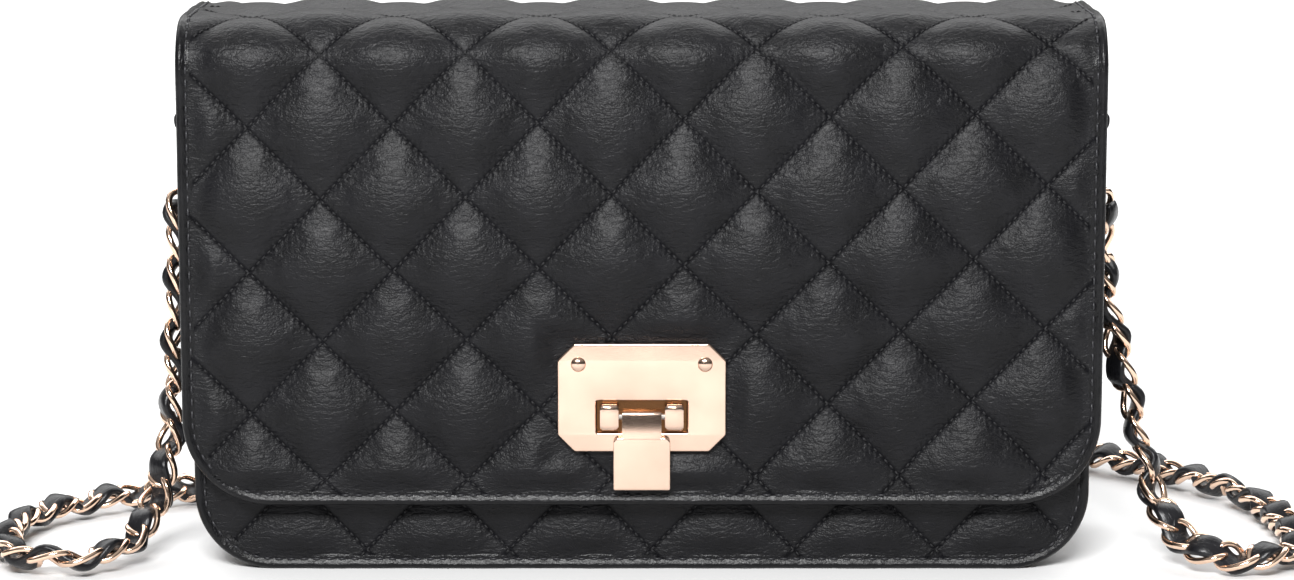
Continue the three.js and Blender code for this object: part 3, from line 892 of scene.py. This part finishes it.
def u_path(half, top, bottom, corner, step=1.2 * MM):
    """Down the left side, round the lower corners and up the right: points (x, z) and outward directions."""
    side = np.arange(top, bottom + corner, -step)
    turn = np.linspace(0, math.pi / 2, max(6, int(corner * math.pi / 2 / step)))
    flat = np.arange(-half + corner, half - corner, step)[1:]
    reach, low = half - corner, bottom + corner
    sin, cos = np.sin(turn), np.cos(turn)

    def column(x, z, like):
        return np.stack(np.broadcast_arrays(x, z, like), 1)[:, :2]

    points = [column(-half, side, side), column(-reach - corner * cos, low - corner * sin, turn),
              column(flat, bottom, flat), column(reach + corner * sin, low - corner * cos, turn),
              column(half, side[::-1], side)]
    out = [column(-1.0, 0.0, side), column(-cos, -sin, turn), column(0.0, -1.0, flat),
           column(sin, -cos, turn), column(1.0, 0.0, side)]
    return np.concatenate(points), np.concatenate(out)


def edge_frames(flat, out, side_y, facing):
    """A U path in the plane y = side_y as 3-D line, outward direction and face normal."""
    line = np.stack([flat[:, 0], np.full(len(flat), side_y), flat[:, 1]], 1)
    side = np.stack([out[:, 0], np.zeros(len(out)), out[:, 1]], 1)
    normal = np.tile((0.0, facing, 0.0), (len(flat), 1))
    return line, side, normal


def over_the_top(s_values, sign, half_at):
    """A stretch of side edge over the rolls, for the left (-1) or right (1) side."""
    y, z, normal_y, normal_z = main.at(s_values)
    line = np.stack([sign * half_at(s_values), y, z], 1)
    side = np.tile((float(sign), 0.0, 0.0), (len(s_values), 1))
    normal = np.stack([np.zeros(len(s_values)), normal_y, normal_z], 1)
    return line, side, normal


def uneven(line):
    """A slow wander, so that a sewn edge isn't dead straight."""
    amount, s = 0.12 * MM, lengths(line)
    return amount * (np.sin(s * 190 + line[0, 1] * 900) + 0.6 * np.sin(s * 470 + 1.3))[:, None]


def edge_stitches(line, side, normal, name, inset=2.6 * MM, rise=0.0):
    pitch, length = 3.2 * MM, 2.35 * MM
    along = lengths(line)
    centres = np.arange(pitch, along[-1] - pitch / 2, pitch)

    def place(s):
        return along_line(s, along, line - side * inset)

    up = unit(along_line(centres, along, normal))
    starts, ends = place(centres - length / 2), place(centres + length / 2)
    return stitches(name, starts, ends, up, 0.55 * MM, "edge_thread", rise)


def bind(name, stretches):
    """A rolled binding along joined stretches of edge, and its row of stitches."""
    line = np.concatenate([p[0] for p in stretches])
    side = np.concatenate([p[1] for p in stretches])
    normal = np.concatenate([p[2] for p in stretches])
    fresh = np.concatenate([[True], np.linalg.norm(np.diff(line, axis=0), axis=1) > 0.05 * MM])
    line, side, normal = line[fresh], unit(side[fresh]), unit(normal[fresh])
    points, faces, uv = sweep(line + normal * uneven(line), side, normal, binding_section)
    band = make_mesh(name, points, faces, "edge", uv)
    fix_normals(band)
    sewn = edge_stitches(line, side, normal, f"{name}_stitches", rise=-0.2 * MM)
    return band, sewn


def make_bindings():
    step = 1.2 * MM
    middle = (main.steps[2] + main.steps[3]) / 2
    front_stretch = np.arange(middle, main.steps[4], step)
    left = over_the_top(front_stretch, -1, lambda s: np.full_like(s, flap_half))
    right = over_the_top(front_stretch, 1, lambda s: np.full_like(s, flap_half))
    right = tuple(part[::-1] for part in right)
    flat, out = u_path(flap_half, fold, flap_bottom, flap_corner)
    front = edge_frames(flat, out, flap_face, -1.0)
    band, sewn = bind("flap_edge", [left, front, right])
    for obj in (band, sewn):
        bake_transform(obj)
    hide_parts("flap_front_binding")

    back_stretch = np.arange(middle, main.steps[1], -step)

    def narrowing(s):
        return body_half + (flap_half - body_half) * smoothstep(s, main.steps[1], main.steps[2])

    left = over_the_top(back_stretch, -1, narrowing)
    right = tuple(part[::-1] for part in over_the_top(back_stretch, 1, narrowing))
    flat, out = u_path(body_half, fold, back_low[2], body_corner)
    back = edge_frames(flat, out, back_face, 1.0)
    band, sewn = bind("back_edge", [left, back, right])
    for obj in (band, sewn):
        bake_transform(obj)
    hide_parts("back_binding", "flap_top_binding_left", "flap_top_binding_right")

    flat, out = u_path(body_half, front_top, 0.0, body_corner)
    band, sewn = bind("body_edge", [edge_frames(flat, out, body_face, -1.0)])
    for obj in (band, sewn):
        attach(obj, "bag")
    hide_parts("front_binding")


make_bindings()

# ---------------------------------------------------------------- gusset and linings


def closed_sheet(name, layers, uv, look):
    """A thin closed sheet from two grids of points, one for each of its faces."""
    rows, columns = layers[0].shape[:2]
    total = rows * columns
    faces = grid_faces(rows, columns)
    faces += [tuple(total + v for v in face[::-1]) for face in faces]
    index = np.arange(total).reshape(rows, columns)
    rim = [*index[:, 0], *index[-1, 1:], *index[-2::-1, -1], *index[0, -2:0:-1]]
    faces += [(b, a, total + a, total + b) for a, b in zip(rim, rim[1:] + rim[:1])]
    points = np.concatenate([layer.reshape(-1, 3) for layer in layers])
    obj = make_mesh(name, points, faces, look, np.tile(uv.reshape(-1, 2), (2, 1)))
    fix_normals(obj)
    return obj


def make_gusset():
    """A soft band between the panels that draws in a little between its seams."""
    half = gusset_high[0]
    flat, out = u_path(half, gusset_high[2], 0.0, body_corner - (body_half - half), 2 * MM)
    along = lengths(flat)
    across = np.linspace(0, 1, 33)
    front, back = body_face + 3.6 * MM, back_face - 3.6 * MM
    depth = 2.2 * MM
    height = (flat[:, 1] / gusset_high[2])[:, None]
    draw = np.sin(math.pi * across)[None, :] * (0.3 + 1.3 * height) * MM * (height > 0.02)
    fullness = np.sin(math.pi * across)[None, :]
    ripple = 0.25 * MM * np.sin(along[:, None] * 170 + 9 * across[None, :]) * fullness * height
    width = front + (back - front) * across
    layers = []
    for level in (0.0, depth):
        shift = draw + ripple + level
        x, z = (flat[:, k, None] - out[:, k, None] * shift for k in (0, 1))
        layers.append(np.stack(np.broadcast_arrays(x, width[None, :], z), -1))
    uv = np.stack(np.broadcast_arrays(along[:, None], ((back - front) * across)[None, :]), -1)
    obj = closed_sheet("gusset_leather", layers, uv, "plain")
    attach(obj, "bag")
    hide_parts("gusset_band")


def lining_sheet(name, x, y_z, thickness, ripple=0.25 * MM):
    """A thin sheet of lining: a grid over x and a profile of (y, z, normal y, normal z)."""
    y, z, normal_y, normal_z = y_z
    steps = np.arange(len(y))[None, :]
    wave = ripple * np.sin(x[:, None] * 95 + 1.1) * np.sin(steps * 0.21 + x[:, None] * 31)
    layers = []
    for level in (0.0, -thickness):
        out = level + wave
        layers.append(np.stack(np.broadcast_arrays(x[:, None], y + normal_y * out, z + normal_z * out), -1))
    run = lengths(np.stack([y, z], 1))
    uv = np.stack(np.broadcast_arrays(x[:, None], run[None, :]), -1)
    obj = closed_sheet(name, layers, uv, "lining")
    return obj


def make_flap_linings():
    inner = Profile(back_low[2], inset=4.1 * MM)
    middle = (main.steps[2] + main.steps[3]) / 2
    inset = 2.2 * MM
    x = np.linspace(inset - flap_half, flap_half - inset, 90)
    front_run = np.linspace(middle, main.length - 3.0 * MM, 110)
    obj = lining_sheet("flap_lining_front", x, inner.at(front_run), 0.7 * MM)
    trim_corners(obj, flap_half - inset, flap_bottom + inset, flap_corner - inset)
    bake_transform(obj)
    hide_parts("flap_front_lining")
    back_run = np.linspace(main.steps[1] - 13 * MM, middle, 70)
    obj = lining_sheet("flap_lining_top", x * 0.985, inner.at(back_run), 0.7 * MM)
    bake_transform(obj)
    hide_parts("flap_top_lining")


def trim_corners(obj, half, bottom, corner):
    """Pull a sheet's square lower corners in to a round outline."""
    for vertex in obj.data.vertices:
        x, z = vertex.co.x, vertex.co.z
        corner_x, corner_z = half - corner, bottom + corner
        if abs(x) > corner_x and z < corner_z:
            dx, dz = abs(x) - corner_x, corner_z - z
            reach = max(dx, dz)
            scale = reach / math.hypot(dx, dz)
            vertex.co.x = math.copysign(corner_x + dx * scale, x)
            vertex.co.z = corner_z - dz * scale


def cut_zip_window(obj, middle_y):
    """Open the back wall of the lining where the zip lies."""
    half = box("zip_tape_upper")[1][0] + 0.4 * MM
    bottom = box("zip_tape_lower")[0][2] - 0.3 * MM
    top = box("zip_tape_upper")[1][2] + 0.3 * MM
    mesh = bmesh.new()
    mesh.from_mesh(obj.data)
    cuts = [((sign * half, 0, 0), (1, 0, 0)) for sign in (1, -1)]
    cuts += [((0, 0, z), (0, 0, 1)) for z in (bottom, top)]
    for place, normal in cuts:
        wall = [face for face in mesh.faces if face.calc_center_median().y > middle_y]
        edges = {edge for face in wall for edge in face.edges}
        corners = {corner for face in wall for corner in face.verts}
        bmesh.ops.bisect_plane(mesh, geom=[*wall, *edges, *corners], plane_co=place, plane_no=normal)
    inside = []
    for face in mesh.faces:
        centre = face.calc_center_median()
        if centre.y > middle_y and abs(centre.x) < half and bottom < centre.z < top:
            inside.append(face)
    bmesh.ops.delete(mesh, geom=inside, context="FACES")
    mesh.to_mesh(obj.data)
    mesh.free()


def make_bag_lining():
    """The lining of the compartment: a soft open bag with rounded bottom edges."""
    front = box("lining_front")[1][1]
    back = box("lining_back")[0][1]
    half = box("lining_gusset")[1][0] - 0.7 * MM
    top = box("lining_front")[1][2]
    bottom = box("lining_gusset")[0][2] + 0.8 * MM
    low_corner = 14 * MM
    levels = np.concatenate([[0.0], np.linspace(0.02, 1, 60)])
    tall = top - bottom
    centre_y, deep = (front + back) / 2, (back - front) / 2
    fine = np.linspace(0, 2 * math.pi, 6001)

    def ring(width, depth):
        """A rounded rectangle, sampled at even steps."""
        c, s = np.cos(fine), np.sin(fine)
        power = 14.0
        size = (np.abs(c / width) ** power + np.abs(s / depth) ** power) ** (-1 / power)
        run = lengths(np.stack([size * c, size * s], 1))
        even = np.linspace(0, run[-1], 240, endpoint=False)
        return np.interp(even, run, size * c), np.interp(even, run, size * s), even

    rings = []
    for level in levels:
        rise = min(1.0, tall * level / low_corner)
        curve = math.sqrt(max(0.0, 1 - (1 - rise) ** 2))
        width = half - low_corner * (1 - curve)
        depth = deep - 3 * MM * (1 - min(1.0, tall * level / (3 * MM))) ** 2
        x, y, girth = ring(width, depth)
        slack = 0.35 * MM * np.sin(girth * 90 + level * 7) * np.sin(level * math.pi)
        y = centre_y + y - np.sign(y) * np.abs(slack)
        rings.append(np.stack([x, y, np.full_like(x, bottom + tall * level)], 1))
    count = len(girth)
    points = np.concatenate(rings + [np.array([[0.0, centre_y, bottom]])])
    faces = [(len(points) - 1, k, (k + 1) % count) for k in range(count)]
    faces += [face[::-1] for face in grid_faces(len(levels), count, closed_columns=True)]
    uv = np.stack(np.broadcast_arrays(girth[None, :], levels[:, None] * tall), -1).reshape(-1, 2)
    obj = make_mesh("bag_lining", points, faces, "lining", np.vstack([uv, np.zeros((1, 2))]))
    cut_zip_window(obj, centre_y)
    thick = obj.modifiers.new("Solidify", "SOLIDIFY")
    thick.thickness = 0.5 * MM
    thick.offset = -1
    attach(obj, "bag")
    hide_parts("lining_front", "lining_back", "lining_gusset")


def flat_cloth(node, bulge, ripple):
    """A thin cloth panel in the place of a flat CAD solid, a little full in the middle."""
    low, high = box(node)
    thickness = min(0.6 * MM, high[1] - low[1])
    x = np.linspace(low[0], high[0], max(12, int((high[0] - low[0]) / (1.8 * MM))))
    z = np.linspace(low[2], high[2], max(5, int((high[2] - low[2]) / (1.8 * MM))))
    y = low[1] + 0.05 * MM - bulge * np.sin(math.pi * (z - low[2]) / (high[2] - low[2]))
    profile = (y, z, np.full_like(z, -1.0), np.zeros_like(z))
    obj = lining_sheet(f"{node}_cloth", x, profile, thickness, ripple)
    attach(obj, "bag")
    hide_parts(node)


def make_pockets():
    """The inner pocket's cloth, and the slip pocket with a hem sewn along its top."""
    flat_cloth("zip_pouch", 0.0, 0.1 * MM)
    for name in ("zip_tape_upper", "zip_tape_lower"):
        flat_cloth(name, 0.0, 0.0)
    flat_cloth("slip_pocket", 0.5 * MM, 0.15 * MM)
    low, high = box("slip_pocket")
    x = np.linspace(low[0], high[0], 90)
    line = np.stack([x, np.full_like(x, high[1] + 0.1 * MM), np.full_like(x, high[2] - 1.6 * MM)], 1)
    up = np.tile((0.0, 0.0, 1.0), (len(x), 1))
    out = np.tile((0.0, 1.0, 0.0), (len(x), 1))
    section = smooth_loop([(-1.7, -0.3), (-1.5, 0.35), (0, 0.5), (1.5, 0.35), (1.7, -0.3), (0, -0.4)]) * MM
    points, faces, uv = sweep(line, up, out, section)
    hem = make_mesh("slip_pocket_hem", points, faces, "lining", uv)
    fix_normals(hem)
    sewn = edge_stitches(line, up, out, "slip_pocket_stitches", inset=0.9 * MM, rise=0.45 * MM)
    for obj in (hem, sewn):
        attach(obj, "bag")


def make_ring_tabs():
    """Leather tabs with rounded edges, in the shape of their CAD solids."""
    for side_name in ("left", "right"):
        node = f"ring_tab_{side_name}"
        obj = bpy.data.objects.new(f"{node}_leather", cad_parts[node].data.copy())
        bpy.context.collection.objects.link(obj)
        remesh = obj.modifiers.new("Remesh", "REMESH")
        remesh.mode = "VOXEL"
        remesh.voxel_size = 0.32 * MM
        smooth = obj.modifiers.new("Smooth", "SMOOTH")
        smooth.factor = 0.5
        smooth.iterations = 5
        mesh = bpy.data.meshes.new_from_object(obj.evaluated_get(bpy.context.evaluated_depsgraph_get()))
        obj.modifiers.clear()
        obj.data = mesh
        mesh.materials.clear()
        mesh.materials.append(looks["solid_leather"])
        mesh.polygons.foreach_set("use_smooth", [True] * len(mesh.polygons))
        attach(obj, "bag")
        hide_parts(node)


make_gusset()
make_flap_linings()
make_bag_lining()
make_pockets()
make_ring_tabs()

# ---------------------------------------------------------------- hardware


def plate(name, outline, holes, thickness, bevel, centre_y, look):
    """A flat plate in the plane x-z with rounded edges, from an outline and holes of (x, z) points."""
    curve = bpy.data.curves.new(name, "CURVE")
    curve.dimensions = "2D"
    curve.fill_mode = "BOTH"
    curve.extrude = thickness / 2 - bevel
    curve.bevel_depth = bevel
    curve.bevel_resolution = 4
    curve.offset = -bevel
    for loop in [outline] + list(holes):
        spline = curve.splines.new("POLY")
        spline.points.add(len(loop) - 1)
        spline.use_cyclic_u = True
        for point, (x, z) in zip(spline.points, loop):
            point.co = (x, z, 0, 1)
    maker = bpy.data.objects.new(name + "_curve", curve)
    bpy.context.collection.objects.link(maker)
    maker.rotation_euler = (math.pi / 2, 0, 0)
    maker.location = (0, centre_y, 0)
    bpy.context.view_layer.update()
    mesh = bpy.data.meshes.new_from_object(maker.evaluated_get(bpy.context.evaluated_depsgraph_get()))
    mesh.transform(maker.matrix_world)
    bpy.data.objects.remove(maker)
    obj = bpy.data.objects.new(name, mesh)
    bpy.context.collection.objects.link(obj)
    mesh.name = name
    mesh.materials.clear()
    mesh.materials.append(looks[look])
    tidy = bmesh.new()
    tidy.from_mesh(mesh)
    bmesh.ops.remove_doubles(tidy, verts=tidy.verts, dist=0.01 * MM)
    bmesh.ops.recalc_face_normals(tidy, faces=tidy.faces)
    tidy.to_mesh(mesh)
    tidy.free()
    mesh.polygons.foreach_set("use_smooth", [True] * len(mesh.polygons))
    mesh.set_sharp_from_angle(angle=math.radians(12))
    return obj


def rounded(points, radius):
    """A polygon with its corners rounded."""
    points = [np.array(p, float) for p in points]
    out = []
    for i, p in enumerate(points):
        before, after = points[i - 1], points[(i + 1) % len(points)]
        a, b = unit(before - p), unit(after - p)
        start, end = p + a * radius, p + b * radius
        for t in np.linspace(0, 1, 5):
            out.append((1 - t) ** 2 * start + 2 * t * (1 - t) * p + t ** 2 * end)
    return out


def spun(name, profile, centre):
    """A gold body of revolution about -Y through centre: profile of (radius, forward)."""
    sides = 40
    angle = np.linspace(0, 2 * math.pi, sides, endpoint=False)
    across, forward = (np.array(profile)[:, k, None] for k in (0, 1))
    x, y, z = centre[0] + across * np.cos(angle), centre[1] - forward, centre[2] + across * np.sin(angle)
    points = np.stack(np.broadcast_arrays(x, y, z), -1).reshape(-1, 3)
    obj = make_mesh(name, points, capped_tube(len(profile), sides), "gold")
    fix_normals(obj)
    return obj


def extruded(name, profile, half, chamfer):
    """A gold profile of (y, z) points carried across x, drawn in by a chamfer at its ends."""
    profile = np.array(profile, float)
    middle = profile.mean(axis=0)
    size = np.abs(profile - middle).max()
    points = []
    for x, shrink in ((-half, chamfer), (-half + chamfer, 0.0), (half - chamfer, 0.0), (half, chamfer)):
        ring = middle + (profile - middle) * (1 - shrink / size)
        points.extend((x, y, z) for y, z in ring)
    obj = make_mesh(name, points, capped_tube(4, len(profile)), "gold")
    fix_normals(obj)
    obj.data.set_sharp_from_angle(angle=math.radians(35))
    return obj


def merge(name, objects):
    """Join objects into the first one, under a new name."""
    combined = bmesh.new()
    for obj in objects:
        combined.from_mesh(obj.data)
    first = objects[0]
    combined.to_mesh(first.data)
    combined.free()
    for obj in objects[1:]:
        bpy.data.objects.remove(obj)
    first.name = name
    return first


def rectangle(half, start, end):
    """The corners of a rectangle in the plane x-z, between two heights."""
    return [(-half, start), (-half, end), (half, end), (half, start)]


def make_lock():
    half, low, high = lock_high[0], lock_low[2], lock_high[2]
    cut = 4.2 * MM
    outline = rounded([(-half + cut, low), (half - cut, low), (half, low + cut), (half, high - cut),
                       (half - cut, high), (-half + cut, high), (-half, high - cut), (-half, low + cut)],
                      0.5 * MM)
    _, pin_y, pin_z = middle_of("lock_hinge_pin")
    base_low, base_high = box("lock_base")
    window_half = base_high[0]
    window = rounded(rectangle(window_half, base_low[2] + 0.2 * MM, base_high[2] - 0.2 * MM), 0.6 * MM)
    centre_y = middle_of("lock_plate")[1]
    face = plate("lock_face", outline, [window], lock_high[1] - lock_low[1], 0.45 * MM, centre_y, "gold")
    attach(face, "flap_front")
    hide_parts("lock_plate")
    for side_name in ("left", "right"):
        x, _, z = middle_of(f"lock_rivet_{side_name}")
        dome = [(1.75 * MM, -0.15 * MM), (1.85 * MM, 0.15 * MM), (1.6 * MM, 0.5 * MM), (1.15 * MM, 0.78 * MM),
                (0.6 * MM, 0.93 * MM), (0.05 * MM, 0.98 * MM)]
        head = spun(f"lock_dome_{side_name}", dome, (x, lock_low[1], z))
        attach(head, "flap_front")
        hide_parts(f"lock_rivet_{side_name}")
    # The base: a foot inside the window, coloured near-black gold as painted shade in the recess, and two
    # rounded lugs.
    foot_outline = rectangle(window_half - 0.1 * MM, base_high[2] - 0.1 * MM, base_low[2] + 0.1 * MM)
    foot_outline = rounded(foot_outline, 0.5 * MM)
    foot = plate("lock_foot", foot_outline, [], 0.6 * MM, 0.15 * MM, lock_high[1] - 0.1 * MM, "painted_shade_gold")
    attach(foot, "flap_front")
    parts = []
    lug_front = base_low[1]
    inner, outer = 5.8 * MM, 10.4 * MM
    for sign in (-1, 1):
        side = rounded([(lock_high[1], pin_z - 3.4 * MM), (lock_high[1], pin_z + 3.4 * MM),
                        (lug_front, pin_z + 3.4 * MM), (lug_front, pin_z - 3.4 * MM)], 1.3 * MM)
        lug = extruded(f"lug_{sign}", side, (outer - inner) / 2, 0.5 * MM)
        lug.data.transform(Matrix.Translation((sign * (inner + outer) / 2, 0, 0)))
        parts.append(lug)
    base = merge("lock_lugs", parts)
    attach(base, "flap_front")
    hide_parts("lock_base")
    # The flip tab.
    tab_low, tab_high = box("lock_tab")
    wide, narrow, shoulder = tab_high[0], 4.9 * MM, base_low[2] - 0.7 * MM
    front, back = tab_low[1], lock_low[1] - 0.3 * MM
    blade = rounded([(-wide, tab_low[2]), (wide, tab_low[2]), (wide, shoulder - 0.9 * MM),
                     (wide - 1.0 * MM, shoulder), (-wide + 1.0 * MM, shoulder),
                     (-wide, shoulder - 0.9 * MM)], 0.5 * MM)
    thick = back - front
    turn = np.linspace(-0.7 * math.pi, 0.28 * math.pi, 19)
    knuckle_radius = 1.6 * MM
    outer = [(pin_y - knuckle_radius * math.sin(t), pin_z + knuckle_radius * math.cos(t)) for t in turn]
    steps = np.linspace(0, 1, 17)[1:]
    run = [(outer[-1][0] + (front - outer[-1][0]) * (1 - (1 - t) ** 2),
            outer[-1][1] + (shoulder - 1.2 * MM - outer[-1][1]) * t) for t in steps]
    inner = [(back - 0.1 * MM, shoulder - 1.2 * MM), (back - 0.1 * MM, shoulder)]
    tab = merge("flip_tab", [
        plate("tab_blade", blade, [], thick, 0.35 * MM, (front + back) / 2, "gold"),
        extruded("tab_neck", outer + run + inner, narrow, 0.25 * MM),
    ])
    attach(tab, "lock_tab")
    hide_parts("lock_tab")


def wire_ring(name, loop, radius):
    """A closed wire through 3-D points."""
    line = np.array(loop, float)
    tangent = unit(np.roll(line, -1, axis=0) - np.roll(line, 1, axis=0))
    middle = line.mean(axis=0)
    flat = unit(np.cross(line[0] - middle, line[len(line) // 4] - middle))
    out = unit(np.cross(tangent, np.tile(flat, (len(line), 1))))
    ring = np.arange(12) * math.pi / 6
    section = np.stack([np.cos(ring), np.sin(ring)], 1) * radius
    points, faces, uv = sweep(line, out, np.tile(flat, (len(line), 1)), section, closed_path=True)
    obj = make_mesh(name, points, faces, "chain_gold", uv)
    fix_normals(obj)
    return obj


def make_ring_hardware():
    for side_name in ("left", "right"):
        body = f"ring_{side_name}"
        low, high = box(f"d_ring_{side_name}")
        x = (low[0] + high[0]) / 2
        bar_z, bow_low = high[2] - 1.1 * MM, low[2] + 1.05 * MM
        half = high[1] - 1.05 * MM
        bow_z = bow_low + half
        turn = np.linspace(math.pi, 2 * math.pi, 20)
        bar = np.linspace(half - 1.2 * MM, -half + 1.2 * MM, 8)
        loop = [(x, half * math.cos(t), bow_z + half * math.sin(t)) for t in turn]
        loop += [(x, half, bow_z + 1.2 * MM), (x, half - 0.35 * MM, bar_z - 0.35 * MM)]
        loop += [(x, y, bar_z) for y in bar]
        loop += [(x, -half + 0.35 * MM, bar_z - 0.35 * MM), (x, -half, bow_z + 1.2 * MM)]
        ring = wire_ring(f"d_ring_wire_{side_name}", loop, 1.05 * MM)
        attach(ring, body)
        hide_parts(f"d_ring_{side_name}")
        low, high = box(f"end_link_{side_name}")
        centre_z, tall = (low[2] + high[2]) / 2, (high[2] - low[2]) / 2 - 0.8 * MM
        wide = (high[0] - low[0]) / 2 - 0.75 * MM
        angle = np.linspace(0, 2 * math.pi, 32, endpoint=False)
        twist = 1.1 * MM
        loop = [(x + wide * math.cos(t), twist * math.sin(2 * t), centre_z + tall * math.sin(t))
                for t in angle]
        link = wire_ring(f"end_link_wire_{side_name}", loop, 0.8 * MM)
        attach(link, body)
        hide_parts(f"end_link_{side_name}")


make_lock()
make_ring_hardware()

# ---------------------------------------------------------------- carried-over solids

for node_name, look_name in {
    "ring_rivet_left": "gold", "ring_rivet_right": "gold",
    "front_board": "board", "back_board": "board", "base_board": "board", "flap_front_board": "board",
    "zip_teeth_upper": "dark_metal", "zip_teeth_lower": "dark_metal",
    "zip_slider": "dark_metal", "zip_pull": "dark_metal",
    "snap_socket": "dark_metal", "snap_stud": "dark_metal",
    "lock_backing_plate": "dark_metal", "lock_hinge_pin": "dark_metal",
}.items():
    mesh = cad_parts[node_name].data
    mesh.materials.clear()
    mesh.materials.append(looks[look_name])

# ---------------------------------------------------------------- stage and light


def make_stage():
    look = Look("floor")
    place = look.add("TexCoord").outputs["Object"]
    tone = look.mix(look.noise(place, 3.0), (0.78, 0.78, 0.78, 1), (0.81, 0.81, 0.81, 1))
    look.set(base=tone, roughness=0.8)
    mesh = bpy.data.meshes.new("floor")
    size = 6.0
    corners = [(x * size, y * size, 0) for x, y in ((-1, -1), (1, -1), (1, 1), (-1, 1))]
    mesh.from_pydata(corners, [], [(0, 1, 2, 3)])
    floor = bpy.data.objects.new("floor", mesh)
    bpy.context.collection.objects.link(floor)
    mesh.materials.append(look.material)


def add_light(name, place, target, size, power):
    data = bpy.data.lights.new(name, "AREA")
    data.shape = "RECTANGLE"
    data.size, data.size_y = size
    data.energy = power
    light = bpy.data.objects.new(name, data)
    bpy.context.collection.objects.link(light)
    light.location = place
    light.rotation_euler = (Vector(target) - Vector(place)).to_track_quat("-Z", "Y").to_euler()


def make_light():
    world = bpy.data.worlds.new("studio")
    bpy.context.scene.world = world
    world.use_nodes = True
    tree = world.node_tree
    background = tree.nodes["Background"]
    direction = tree.nodes.new("ShaderNodeTexCoord")
    split = tree.nodes.new("ShaderNodeSeparateXYZ")
    height = tree.nodes.new("ShaderNodeMapRange")
    tree.links.new(direction.outputs["Generated"], split.inputs[0])
    tree.links.new(split.outputs[2], height.inputs[0])
    tree.links.new(height.outputs[0], background.inputs[1])
    background.inputs[0].default_value = (1, 1, 1, 1)
    for socket, value in zip(height.inputs[1:5], (0.16, 0.85, 0.03, 0.45)):
        socket.default_value = value
    add_light("key", (-0.15, -1.12, 0.86), (0, 0, 0.09), (0.6, 0.28), 30)
    add_light("backdrop", (0, 1.8, 1.5), (0, 1.8, 0), (5.0, 2.8), 110)
    bpy.context.scene.view_settings.view_transform = "Standard"


make_stage()
make_light()
